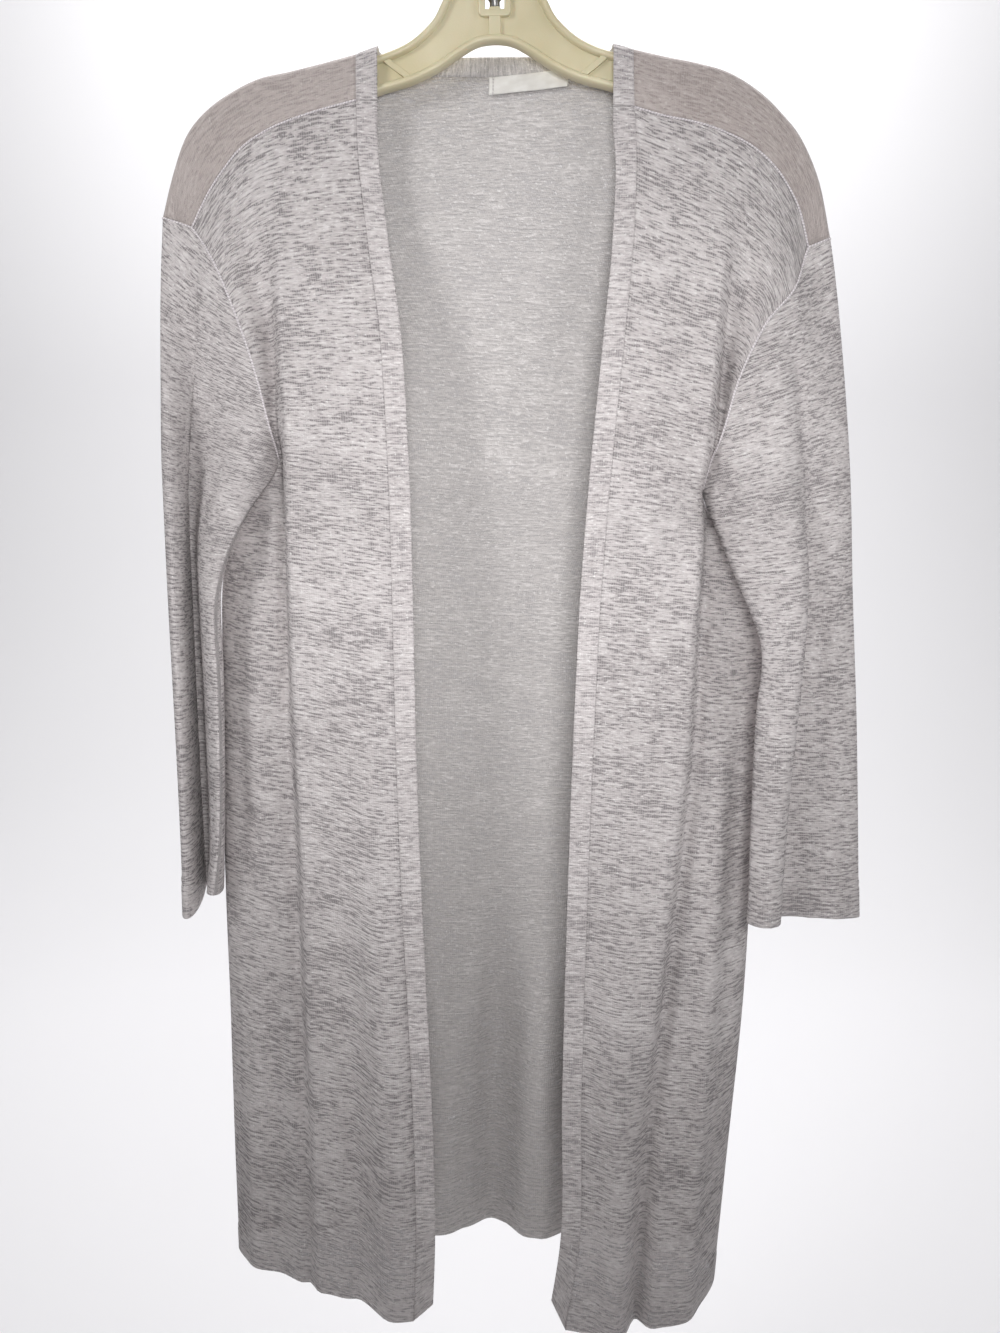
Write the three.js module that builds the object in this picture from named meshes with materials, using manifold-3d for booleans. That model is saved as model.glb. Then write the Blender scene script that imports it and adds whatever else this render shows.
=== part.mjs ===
// A long open-fronted cardigan of thin slub knit, hanging from a moulded plastic clothes hanger.
// Millimetres, +Z up. The front faces -Y, and +X is to the right as one looks at the front.
// The origin is the point inside the top of the hook that rests on the rail. Heights are given as
// "down", the distance below that point, and places across as "out", the distance from the middle.
// The cardigan is one outer surface, made of patches that share their edges. Each cut piece is a wall
// under its own patches, and it stops short of its neighbours at the seams.
import * as THREE from "three";
import { mergeVertices } from "three/addons/utils/BufferGeometryUtils.js";
import Module from "manifold-3d";

// Cloth
const CLOTH = 1.6; // wall of the single knit
const DOUBLED = 2.6; // wall where it is turned up in a hem, and in the doubled band
const SEAM_GAP = 0.32; // between two pieces at a seam
const BAND_WIDTH = 15; // the band down both fronts and round the back neck
const HEM_TURN = 20; // height of the turned-up hem at the bottom
const CUFF_TURN = 18; // height of the turned-up hem of a sleeve

// Where the cloth passes over the arms of the hanger
const TOP_DEPTH = 8.8; // from the middle plane to the outside of the cloth
const TOP_ROUND = 5; // height of the rounded top
const TIP_DEPTH = 4.5; // the same depth at the outer end of the shoulder, past the hanger

const UNDERARM = { left: { out: 156, down: 398 }, right: { out: 161, down: 418 } };
const UNDERARM_ROW = 0.32; // the share of the rows that lie above the underarm
const NECK_HALF = { left: 95, right: 99 }; // from the middle to each end of the back neck seam
const BACK_NECK_DOWN = 124.5;
const BACK_NECK_DEPTH = 16.5; // of the back neck seam behind the middle plane

// How finely each patch is divided
const FRONT_COLUMNS = 10;
const NECK_COLUMNS = 8;
const ROWS_ABOVE = 10;
const ROWS_BELOW = 13;
const UNDERARM_STEPS = [0.022, 0.048]; // rows just below the underarm, as shares of what lies below it
const FLAP_STEPS = [0, 0.25, 0.5, 0.66, 0.83, 1]; // 0.5 is where the flat part ends and the rounding begins
const BACK_FLAP_STEPS = [0, 0.5, 0.66, 0.83, 1];
const BAND_COLUMNS = 2;
const SLEEVE_RINGS = 17;

// The rows of a table as objects, with a value for each column name.
function table(columns, rows) {
  const names = columns.split(" ");
  return rows.map((row) => Object.fromEntries(names.map((name, i) => [name, row[i]])));
}

// The shoulder from the neck outwards: its ridge, the seam on the front below it, and the line on the back
// where the flat of the back panel begins.
const SHOULDER_COLUMNS = "share ridgeOut ridgeDown seamOut seamDown backOut backDown";
const SHOULDER = {
  left: table(SHOULDER_COLUMNS, [
    [0.0, 95, 117.2, 95, 149.5, 95, 133],
    [0.15, 118, 123.3, 117, 155.2, 118, 138],
    [0.3, 142, 129.2, 140, 162.5, 142, 143.5],
    [0.45, 164, 134.2, 160, 170.9, 162, 149],
    [0.6, 186.5, 145, 177.5, 182.8, 182, 160],
    [0.72, 205, 158.5, 189.5, 196.5, 197, 173],
    [0.82, 218, 175, 199.5, 210, 208, 187.5],
    [0.91, 228.5, 201, 207.5, 222.5, 219, 212],
    [1.0, 236.5, 228, 214.5, 235, 227, 237],
  ]),
  right: table(SHOULDER_COLUMNS, [
    [0.0, 99, 111.6, 101, 151.5, 99, 128],
    [0.15, 122, 116.2, 122, 157, 122, 132],
    [0.3, 146, 120.4, 145, 161, 146, 136.5],
    [0.45, 168, 126.4, 165, 167, 167.5, 142],
    [0.6, 190, 138.8, 185, 176.3, 188.5, 154],
    [0.72, 207, 153.5, 199.5, 187.5, 204.5, 168],
    [0.82, 221.5, 170, 211.5, 201.5, 218, 184],
    [0.91, 236, 198, 222, 218.5, 231, 209],
    [1.0, 246.5, 236, 230, 243, 240, 245],
  ]),
};

// The armhole seam from the shoulder to the underarm, on the front and on the back. closing is 1 where
// the front and the back meet in one rounded edge, and low where the sleeve carries the surface on.
const ARMHOLE_COLUMNS = "share frontOut frontDown backOut backDown frontClosing backClosing";
const ARMHOLE = {
  left: table(ARMHOLE_COLUMNS, [
    [0.0, 214.5, 235, 227, 237, 0.35, 0.35],
    [0.2, 199, 256, 217, 266, 0.3, 0.3],
    [0.4, 185.5, 285, 205, 298, 0.28, 0.3],
    [0.6, 172.5, 320, 189, 334, 0.33, 0.38],
    [0.8, 162.5, 358, 171, 370, 0.52, 0.6],
    [0.92, 157.5, 384, 160, 390, 0.8, 0.85],
    [1.0, 156, 398, 156, 398, 1, 1],
  ]),
  right: table(ARMHOLE_COLUMNS, [
    [0.0, 230, 243, 240, 245, 0.35, 0.35],
    [0.2, 218, 274, 230, 277, 0.3, 0.3],
    [0.4, 198, 299, 216, 311, 0.28, 0.3],
    [0.6, 182.5, 333, 199, 349, 0.33, 0.38],
    [0.8, 171, 375, 179, 387, 0.52, 0.6],
    [0.92, 163.5, 403, 166, 409, 0.8, 0.85],
    [1.0, 161, 418, 161, 418, 1, 1],
  ]),
};

// Half the width of the body at its side edges below the underarm, where they go on behind the sleeves,
// and how far behind the middle plane they hang there.
const SIDE = table("down left right backLeft backRight", [
  [398, 156, 160.5, 0, 0],
  [410, 160, 160.7, 1.5, 0],
  [418, 165, 161, 5, 0],
  [430, 176, 166, 13, 6],
  [445, 189, 179, 18, 14],
  [460, 198, 192, 19, 18],
  [480, 203, 204, 17, 18],
  [505, 204.5, 212, 13, 14],
  [530, 204.5, 215, 11, 11],
  [580, 204.5, 215, 7, 7],
  [660, 205, 213, 3, 3],
  [740, 204.5, 213, 1, 1],
  [830, 203.5, 211.5, 0, 0],
  [950, 203, 205, 0, 0],
  [1085, 201, 198, 0, 0],
]);

// The free edge of the band, from the shoulder seam to the hem.
const FREE_EDGE = [
  { down: 146, left: 81, right: 86 },
  { down: 190, left: 79, right: 89 },
  { down: 250, left: 71, right: 87 },
  { down: 310, left: 62, right: 82 },
  { down: 410, left: 55.5, right: 74 },
  { down: 500, left: 52.5, right: 69 },
  { down: 610, left: 50, right: 66.5 },
  { down: 725, left: 45.5, right: 65 },
  { down: 890, left: 37.5, right: 64.5 },
  { down: 1000, left: 34, right: 66 },
  { down: 1085, left: 36, right: 56 },
];

// How far the front hangs before the middle plane, and the back behind it.
const DEPTH = [
  { down: 110, front: 8, back: 8 },
  { down: 150, front: 8, back: 8 },
  { down: 190, front: 9.5, back: 9.5 },
  { down: 230, front: 15, back: 13 },
  { down: 270, front: 22, back: 17 },
  { down: 320, front: 28, back: 20.5 },
  { down: 400, front: 34, back: 23.5 },
  { down: 500, front: 38, back: 25 },
  { down: 700, front: 41, back: 26 },
  { down: 900, front: 44, back: 25 },
  { down: 1085, front: 48, back: 23 },
];

// The bottom edge from the band's seam to the side, and the back's from the side to the middle.
const HEM = [
  { share: 0.0, left: 1075, right: 1085, backLeft: 1051, backRight: 1053 },
  { share: 0.1, left: 1077, right: 1087, backLeft: 1051, backRight: 1054 },
  { share: 0.2, left: 1067, right: 1088, backLeft: 1051, backRight: 1055 },
  { share: 0.35, left: 1054, right: 1085, backLeft: 1052, backRight: 1056 },
  { share: 0.6, left: 1049, right: 1080, backLeft: 1050, backRight: 1061 },
  { share: 0.8, left: 1045, right: 1070, backLeft: 1047, backRight: 1064 },
  { share: 1.0, left: 1048, right: 1065, backLeft: 1048, backRight: 1065 },
];
const FREE_CORNER = { left: 1061, right: 1060 }; // bottom of the band's free edge
const BACK_MIDDLE_HEM = 1049;
const HEM_FROM = 1028; // height below which the wall of the body is doubled

// The fold beside each armhole: the front's flat part ends at inner, and the cloth falls back behind it
// as far as outer. Below the underarm the whole side lies that far back.
const ARMHOLE_FOLD = table("down leftInner leftOuter rightInner rightOuter depth", [
  [200, 154, 186, 173, 197, 0],
  [240, 153, 181, 171, 193, 5],
  [290, 151, 171, 168, 187, 10],
  [340, 150, 163, 165, 178, 14],
  [390, 149, 160, 163, 168, 18],
  [420, 148.5, 230, 162, 230, 28],
  [450, 148, 260, 161, 260, 33],
  [480, 147, 260, 159, 260, 30],
  [520, 146, 260, 157, 260, 24],
  [600, 143, 260, 156, 260, 18],
  [700, 139, 260, 151, 260, 15],
  [820, 136, 260, 139, 260, 12],
  [950, 132, 260, 127, 260, 7],
  [1090, 128, 260, 122, 260, 3],
]);
const SIDE_TURN = 0.5; // the share of a panel from which it turns back towards its side edge
const FOLD_EDGE = 6; // how quickly the cloth falls back at that fold
const FOLD_RETURN = 9; // and how quickly it comes forward again beside the armhole

// Long soft folds. Each runs from one place to another, x across the whole garment. sink is how far it
// pushes the cloth towards the back of the room, and half the width is reach.
const FRONT_FOLDS = [
  { x0: -112, down0: 620, x1: -88, down1: 1090, sink: 7, reach: 15 },
  { x0: -74, down0: 560, x1: -66, down1: 1090, sink: -5, reach: 18 },
  { x0: -166, down0: 700, x1: -160, down1: 1090, sink: 5, reach: 12 },
  { x0: 108, down0: 640, x1: 104, down1: 1095, sink: -6, reach: 17 },
  { x0: 133, down0: 780, x1: 126, down1: 1095, sink: 7, reach: 9 },
  { x0: 183, down0: 540, x1: 176, down1: 930, sink: -6, reach: 9 },
  { x0: 168, down0: 900, x1: 158, down1: 1095, sink: -5, reach: 16 },
];
const BACK_FOLDS = [
  { x0: 14, down0: 720, x1: 9, down1: 1080, sink: 15, reach: 17 },
  { x0: 56, down0: 760, x1: 48, down1: 1080, sink: -13, reach: 18 },
  { x0: -30, down0: 800, x1: -36, down1: 1080, sink: -9, reach: 22 },
  { x0: 92, down0: 700, x1: 92, down1: 1080, sink: 8, reach: 20 },
  { x0: -84, down0: 640, x1: -92, down1: 1080, sink: 10, reach: 20 },
  { x0: -136, down0: 560, x1: -140, down1: 1080, sink: -8, reach: 18 },
  { x0: 140, down0: 600, x1: 146, down1: 1080, sink: -8, reach: 18 },
];
const FOLD_FADE = 0.45; // the share of its length over which a fold deepens from its top
const SIDE_CLEAR = 26; // folds die away this far from the side edges

// The sleeves. The flattened tube is folded lengthwise: seen from above, its middle line runs from the
// underarm side (in) by two corners (one, two) to the outer side (out). half is half its thickness.
const SLEEVE_COLUMNS = "share inX inY oneX oneY twoX twoY outX outY half";
const SLEEVE = {
  left: table(SLEEVE_COLUMNS, [
    [0.0, 156, 0, 182, 0, 209, 0, 236.5, 0, 19],
    [0.08, 170, -10, 190, 3, 220, 5, 237, -8, 16],
    [0.18, 193, -24, 209, 8, 230, 10, 236, -15, 11],
    [0.3, 202.5, -31, 219, 15, 235, 16, 233, -21, 8.6],
    [0.52, 203, -34, 220, 20, 235, 21, 231, -26, 7.6],
    [0.75, 204.5, -35, 219.3, 22, 233.5, 23, 229, -28, 6.6],
    [0.9, 208, -34, 217.8, 22, 231.8, 23, 228, -30, 6.2],
    [1.0, 211.2, -33, 217.2, 21, 230.8, 22, 227.8, -31, 6.2],
  ]),
  right: table(SLEEVE_COLUMNS, [
    [0.0, 161, 0, 189, 0, 218, 0, 246.5, 0, 19],
    [0.1, 171, -12, 222, -14, 226, -2, 256, -2, 15],
    [0.22, 188, -26, 228, -29, 231, -7, 264, -4, 11.5],
    [0.35, 205, -35, 229, -37, 231, -11, 270.8, -6, 9],
    [0.5, 206.5, -37, 227, -41, 229, -13, 277, -7, 8.4],
    [0.7, 205.5, -37, 222, -43, 227, -14, 286.5, -8, 8],
    [1.0, 205, -37, 219, -43, 226, -15, 298, -9, 8],
  ]),
};
const CORNER = 9; // how far from each corner its rounding begins
const PINCH = 0.4; // the share by which the tube is thinner where it is folded
const CUFF = { left: { out: 748, in: 728 }, right: { out: 747, in: 742 } };
const CUFF_FROM = 724; // height below which a sleeve's wall is doubled
const SLEEVE_BLEND = 0.34; // the share of the sleeve over which the armhole's form turns into the tube's

// Label sewn inside the back neck, along the band's seam.
const LABEL = {
  from: -2,
  to: 55,
  topFrom: 125.5,
  topTo: 119.5,
  height: 12,
  wall: 0.6,
  gap: 0.8,
  columns: 6,
};

// Hanger
const HANGER_TILT = 1.5; // degrees, the right arm up
const RIM_HALF_WIDTH = 2.8;
const RIM_HALF_DEPTH = 5.7;
const RIM_SIDES = 8;
const WEB = 3;
const HANGER_RIM = [
  // The middle line of the rim from the top of the neck round one arm to the middle of the arch.
  { out: 0, down: 62.8 },
  { out: 13, down: 63.2 },
  { out: 22, down: 67 },
  { out: 29, down: 74 },
  { out: 34.5, down: 83 },
  { out: 42, down: 95.5 },
  { out: 58, down: 109 },
  { out: 77, down: 117 },
  { out: 95, down: 121 },
  { out: 118, down: 125.6 },
  { out: 142, down: 131 },
  { out: 165, down: 137 },
  { out: 184, down: 147.5 },
  { out: 197, down: 159 },
  { out: 203.5, down: 170 },
  { out: 205, down: 178 },
  { out: 201, down: 185.5 },
  { out: 192, down: 187 },
  { out: 178, down: 181 },
  { out: 158, down: 169.5 },
  { out: 134, down: 157 },
  { out: 108, down: 146 },
  { out: 82, down: 137.5 },
  { out: 60, down: 131.5 },
  { out: 42, down: 123.8 },
  { out: 26, down: 114 },
  { out: 13, down: 107.4 },
  { out: 0, down: 105.6 },
];
const WINDOW = { half: 7.5, top: 75, bottom: 88 };
const BOSS = { half: 13, top: 62, bottom: 75 };
const CENTRE_RIB = { half: 3.5, depth: 8, top: 87, bottom: 106 };
const SLANT_RIBS = [
  { innerOut: 62, outerOut: 77, innerDown: 130, outerDown: 119 },
  { innerOut: 112, outerOut: 126, innerDown: 146, outerDown: 128 },
  { innerOut: 158, outerOut: 171, innerDown: 168, outerDown: 140 },
];
const SLANT_RIB = { wide: 3, depth: 8 };
const WIRE = 1.9; // radius of the hook's wire
const WIRE_HOLE = 2.25;
const HOOK_RADIUS = 18; // inside the hook
const HOOK_TURN = 205; // degrees of its bend, from the side it rises on over the rail
const COLLAR = { radius: 5, top: 76.5, bottom: 86 };

const mix = (a, b, t) => a + (b - a) * t;
const clamp = (t, least = 0) => Math.min(1, Math.max(least, t));
function ease(from, to, at) {
  const t = clamp((at - from) / (to - from));
  return t * t * (3 - 2 * t);
}

// A named column of a table as a smooth curve through its rows. key is the column that it runs along.
function curve(table, key, name) {
  const last = table.length - 1;
  const slope = (i) => {
    const a = table[Math.max(0, i - 1)];
    const b = table[Math.min(last, i + 1)];
    return (b[name] - a[name]) / (b[key] - a[key]);
  };
  return (at) => {
    let i = 0;
    while (i < last - 1 && at > table[i + 1][key]) i += 1;
    const [a, b] = [table[i], table[i + 1]];
    const span = b[key] - a[key];
    const t = clamp((at - a[key]) / span);
    const [t2, t3] = [t * t, t * t * t];
    return (
      a[name] * (2 * t3 - 3 * t2 + 1) +
      slope(i) * span * (t3 - 2 * t2 + t) +
      b[name] * (3 * t2 - 2 * t3) +
      slope(i + 1) * span * (t3 - t2)
    );
  };
}

// Every column of a table but the first, as curves along the first.
function curves(table) {
  const [key, ...names] = Object.keys(table[0]);
  return Object.fromEntries(names.map((name) => [name, curve(table, key, name)]));
}
const bothSides = (tables) => ({ left: curves(tables.left), right: curves(tables.right) });
const shoulder = bothSides(SHOULDER);
const armhole = bothSides(ARMHOLE);
const sleeve = bothSides(SLEEVE);
const frontDepth = curve(DEPTH, "down", "front");
const backDepth = curve(DEPTH, "down", "back");
const foldDepth = curve(ARMHOLE_FOLD, "down", "depth");
const bySide = (table, key, left, right) => ({
  left: curve(table, key, left),
  right: curve(table, key, right),
});
const sideOut = bySide(SIDE, "down", "left", "right");
const sideBack = bySide(SIDE, "down", "backLeft", "backRight");
const freeEdge = bySide(FREE_EDGE, "down", "left", "right");
const hem = bySide(HEM, "share", "left", "right");
const backHem = bySide(HEM, "share", "backLeft", "backRight");
const foldInner = bySide(ARMHOLE_FOLD, "down", "leftInner", "rightInner");
const foldOuter = bySide(ARMHOLE_FOLD, "down", "leftOuter", "rightOuter");
const SIGN = { left: -1, right: 1 };

// Columns crowd together towards the side edge, where the surface turns round.
const crowd = (share) => 1.5 * share - 0.5 * share ** 3;
const roundOff = (share, closing) => Math.sqrt(Math.max(0, 1 - closing * crowd(share) ** 4));

// The rise and fall of the long folds at a place on the front or the back.
function foldsAt(folds, x, down) {
  let y = 0;
  for (const f of folds) {
    const along = (down - f.down0) / (f.down1 - f.down0);
    const off = (x - mix(f.x0, f.x1, along)) / f.reach;
    y += f.sink * ease(0, FOLD_FADE, along) * Math.exp(-off * off);
  }
  return y;
}

// How far the front falls back at the fold beside the armhole, and all the way to the side below it.
function fallBack(side, out, down) {
  const past = ease(-FOLD_EDGE, FOLD_EDGE, out - foldInner[side](down));
  const returned = ease(-FOLD_RETURN, FOLD_RETURN, out - foldOuter[side](down));
  return foldDepth(down) * past * (1 - returned);
}

// A row of the front or back: its height at one column. Rows above UNDERARM_ROW spread from the shoulder
// line to the level of the underarm, and the others go on to the hem.
function rowDown(top, level, bottom, row) {
  if (row <= UNDERARM_ROW) return mix(top, level, row / UNDERARM_ROW);
  return mix(level, bottom, (row - UNDERARM_ROW) / (1 - UNDERARM_ROW));
}

// A point of a panel before it is given its depth, from its inner edge (share 0) to its side edge
// (share 1), with how far the folds and the hanging depth have come in at that row.
function panelPlace(side, share, row, panel) {
  const above = Math.min(1, row / UNDERARM_ROW);
  const level = UNDERARM[side].down;
  const below = row > UNDERARM_ROW;
  const outerDown = below ? rowDown(0, level, panel.hem(1), row) : panel.armholeDown(above);
  const outer = below ? sideOut[side](outerDown) : panel.armholeOut(above);
  const innerDown = rowDown(panel.lineDown(0), level, panel.hem(0), row);
  const t = crowd(share);
  // The rows bend from the slope of the shoulder to level ones.
  const bend = (1 - above) ** 2;
  const bowOut = panel.lineOut(share) - mix(panel.lineOut(0), panel.lineOut(1), t);
  const bowDown = panel.lineDown(share) - mix(panel.lineDown(0), panel.lineDown(1), t);
  const settle = (panel.lineOut(0) - panel.inner(panel.lineDown(0))) * bend;
  const out = mix(panel.inner(innerDown) + settle, outer, t) + bowOut * bend;
  const hemBow = panel.hem(share) - mix(panel.hem(0), panel.hem(1), t);
  const down = mix(innerDown, outerDown, t) + bowDown * bend + hemBow * ease(UNDERARM_ROW, 1, row);
  const clear = below ? ease(0, SIDE_CLEAR, outer - out) : 1;
  return { out, down, above, folds: clear * ease(0, 0.1, row), settled: ease(0, 0.07, row) };
}

const frontPanel = {};
const backPanel = {};
for (const side of ["left", "right"]) {
  frontPanel[side] = {
    lineOut: shoulder[side].seamOut,
    lineDown: shoulder[side].seamDown,
    armholeOut: armhole[side].frontOut,
    armholeDown: armhole[side].frontDown,
    inner: (down) => freeEdge[side](down) + BAND_WIDTH,
    hem: hem[side],
  };
  backPanel[side] = {
    lineOut: shoulder[side].backOut,
    lineDown: shoulder[side].backDown,
    armholeOut: armhole[side].backOut,
    armholeDown: armhole[side].backDown,
    inner: () => NECK_HALF[side],
    hem: backHem[side],
  };
}

// Below the underarm both panels turn back towards their common side edge, behind the sleeve.
const turnBack = (side, share, down) => sideBack[side](down) * ease(SIDE_TURN, 1, share);

function frontPoint(side, share, row) {
  const { out, down, above, folds, settled } = panelPlace(side, share, row, frontPanel[side]);
  const round = roundOff(share, armhole[side].frontClosing(above));
  const hanging = (frontDepth(down) - fallBack(side, out, down)) * round;
  const depth = mix(shoulderDepth(share), hanging, settled);
  const x = SIGN[side] * out;
  const y = foldsAt(FRONT_FOLDS, x, down) * folds + turnBack(side, share, down) - depth;
  return new THREE.Vector3(x, y, -down);
}

function backPoint(side, share, row) {
  const { out, down, above, folds, settled } = panelPlace(side, share, row, backPanel[side]);
  const round = roundOff(share, armhole[side].backClosing(above));
  const depth = mix(shoulderDepth(share), backDepth(down) * round, settled);
  const x = SIGN[side] * out;
  const y = foldsAt(BACK_FOLDS, x, down) * folds + turnBack(side, share, down) + depth;
  return new THREE.Vector3(x, y, -down);
}

// Half the depth of the cloth where it passes over the shoulder, and the height of its rounded top.
const shoulderDepth = (share) => mix(TOP_DEPTH, TIP_DEPTH, ease(0.76, 1, share));
const shoulderRound = (share) => mix(TOP_ROUND, TIP_DEPTH - 1, ease(0.76, 1, share));

// From a line on the front or the back (t = 0) straight up as far as t = 0.5, and round to the ridge
// (t = 1).
function overShoulder(side, share, t, lineOut, lineDown, facing) {
  const [deep, high] = [shoulderDepth(share), shoulderRound(share)];
  const [ridgeOut, ridgeDown] = [shoulder[side].ridgeOut(share), shoulder[side].ridgeDown(share)];
  const straight = lineDown - ridgeDown - high;
  const angle = clamp(2 * t - 1) * (Math.PI / 2);
  const rise = straight * Math.min(1, 2 * t) + high * Math.sin(angle);
  const out = mix(lineOut, ridgeOut, rise / (lineDown - ridgeDown));
  return new THREE.Vector3(SIGN[side] * out, facing * deep * Math.cos(angle), -(lineDown - rise));
}
const flapPoint = (side, share, t) =>
  overShoulder(side, share, t, shoulder[side].seamOut(share), shoulder[side].seamDown(share), -1);
const backFlapPoint = (side, share, t) =>
  overShoulder(side, share, t, shoulder[side].backOut(share), shoulder[side].backDown(share), 1);

// The middle of the back below the neck. place runs from -1 at the left end of the neck seam to 1 at
// the right.
function neckPoint(place, row) {
  const side = place < 0 ? "left" : "right";
  const share = Math.abs(place);
  const edge = backPoint(side, 0, row);
  const dip = 1 - share ** 2.4;
  const level = mix(UNDERARM.left.down, UNDERARM.right.down, (place + 1) / 2);
  const hemDown = mix(BACK_MIDDLE_HEM, backHem[side](0), share * share);
  const seamDown = mix(shoulder[side].backDown(0), BACK_NECK_DOWN, dip);
  const down = rowDown(seamDown, level, hemDown, row);
  const depth = mix(mix(TOP_DEPTH, BACK_NECK_DEPTH, dip), backDepth(down), ease(0, 0.22, row));
  const x = place * NECK_HALF[side];
  const middle = new THREE.Vector3(x, depth + foldsAt(BACK_FOLDS, x, down) * ease(0, 0.1, row), -down);
  // The outermost columns run into the shoulder's own edge.
  return middle.lerp(edge, share ** 12);
}

// The free edge of the band opposite each place on its seam.
function frontBandEdge(side, row) {
  const seam = frontPoint(side, 0, row);
  const corner = (FREE_CORNER[side] - hem[side](0)) * ease(0.9, 1, row);
  const down = -seam.z + corner;
  const settle = 1 - ease(0, 0.05, row);
  const out = mix(freeEdge[side](down), shoulder[side].seamOut(0) - BAND_WIDTH, settle);
  return new THREE.Vector3(SIGN[side] * out, seam.y + 1.2 * ease(0, 0.2, row), -down);
}

const NECK_EDGE = {
  // The band's free edge round the neck, from the ridge of the shoulder to the middle of the back.
  left: [
    { share: 0.0, out: 80, depth: 0, down: 111.6 },
    { share: 0.12, out: 79.5, depth: 5.5, down: 112.6 },
    { share: 0.25, out: 75.5, depth: 10, down: 113 },
    { share: 0.5, out: 55, depth: 15, down: 112.4 },
    { share: 1.0, out: 0, depth: 16.5, down: 110.8 },
  ],
  right: [
    { share: 0.0, out: 85, depth: 0, down: 108.2 },
    { share: 0.12, out: 84.5, depth: 5.5, down: 108.6 },
    { share: 0.25, out: 80, depth: 10, down: 109.2 },
    { share: 0.5, out: 56, depth: 15, down: 110 },
    { share: 1.0, out: 0, depth: 16.5, down: 110.8 },
  ],
};
const neckEdge = bothSides(NECK_EDGE);
function neckBandEdge(side, share) {
  const { out, depth, down } = neckEdge[side];
  return new THREE.Vector3(SIGN[side] * out(share), depth(share), -down(share));
}
const NECK_TURN = 0.25; // the share of that edge that lies over the back flap
function flapBandEdge(side, t) {
  const seam = flapPoint(side, 0, t);
  const start = frontBandEdge(side, 0);
  const end = neckBandEdge(side, 0);
  const rise = (seam.z - start.z) / (flapPoint(side, 0, 1).z - start.z);
  return new THREE.Vector3(mix(start.x, end.x, rise), seam.y, mix(start.z, end.z, rise));
}

// The middle line of a sleeve's flattened tube, seen from above, with its corners rounded.
function sleevePath(side, share) {
  const at = (name) => new THREE.Vector2(sleeve[side][name + "X"](share), sleeve[side][name + "Y"](share));
  const stops = ["in", "one", "two", "out"].map(at);
  const path = new THREE.Path().moveTo(stops[0].x, stops[0].y);
  for (const k of [1, 2]) {
    const [before, corner, after] = [stops[k - 1], stops[k], stops[k + 1]];
    const cut = (end) => corner.clone().lerp(end, Math.min(0.49, CORNER / corner.distanceTo(end)));
    path.lineTo(cut(before).x, cut(before).y);
    path.quadraticCurveTo(corner.x, corner.y, cut(after).x, cut(after).y);
  }
  return path.lineTo(stops[3].x, stops[3].y);
}

// A point of the hanging tube. around runs 0 to 1 on the front layer, from the underarm side to the
// outer side, and 1 to 2 back again on the rear layer.
function tubePoint(side, share, around) {
  const t = around <= 1 ? around : 2 - around;
  const path = sleevePath(side, share);
  const [place, heading] = [path.getPoint(t), path.getTangent(t)];
  const folded = 1 - PINCH * ease(0, SLEEVE_BLEND, share) * Math.exp(-(((t - 0.5) / 0.16) ** 2));
  const half = sleeve[side].half(share) * folded * Math.sqrt(1 - Math.abs(2 * t - 1) ** 5);
  const thick = around <= 1 ? half : -half;
  const innerDown = mix(UNDERARM[side].down, CUFF[side].in, share);
  const outerDown = mix(shoulder[side].ridgeDown(1), CUFF[side].out, share);
  const [x, y] = [place.x + heading.y * thick, place.y - heading.x * thick];
  return new THREE.Vector3(SIGN[side] * x, y, -mix(innerDown, outerDown, t));
}

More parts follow.
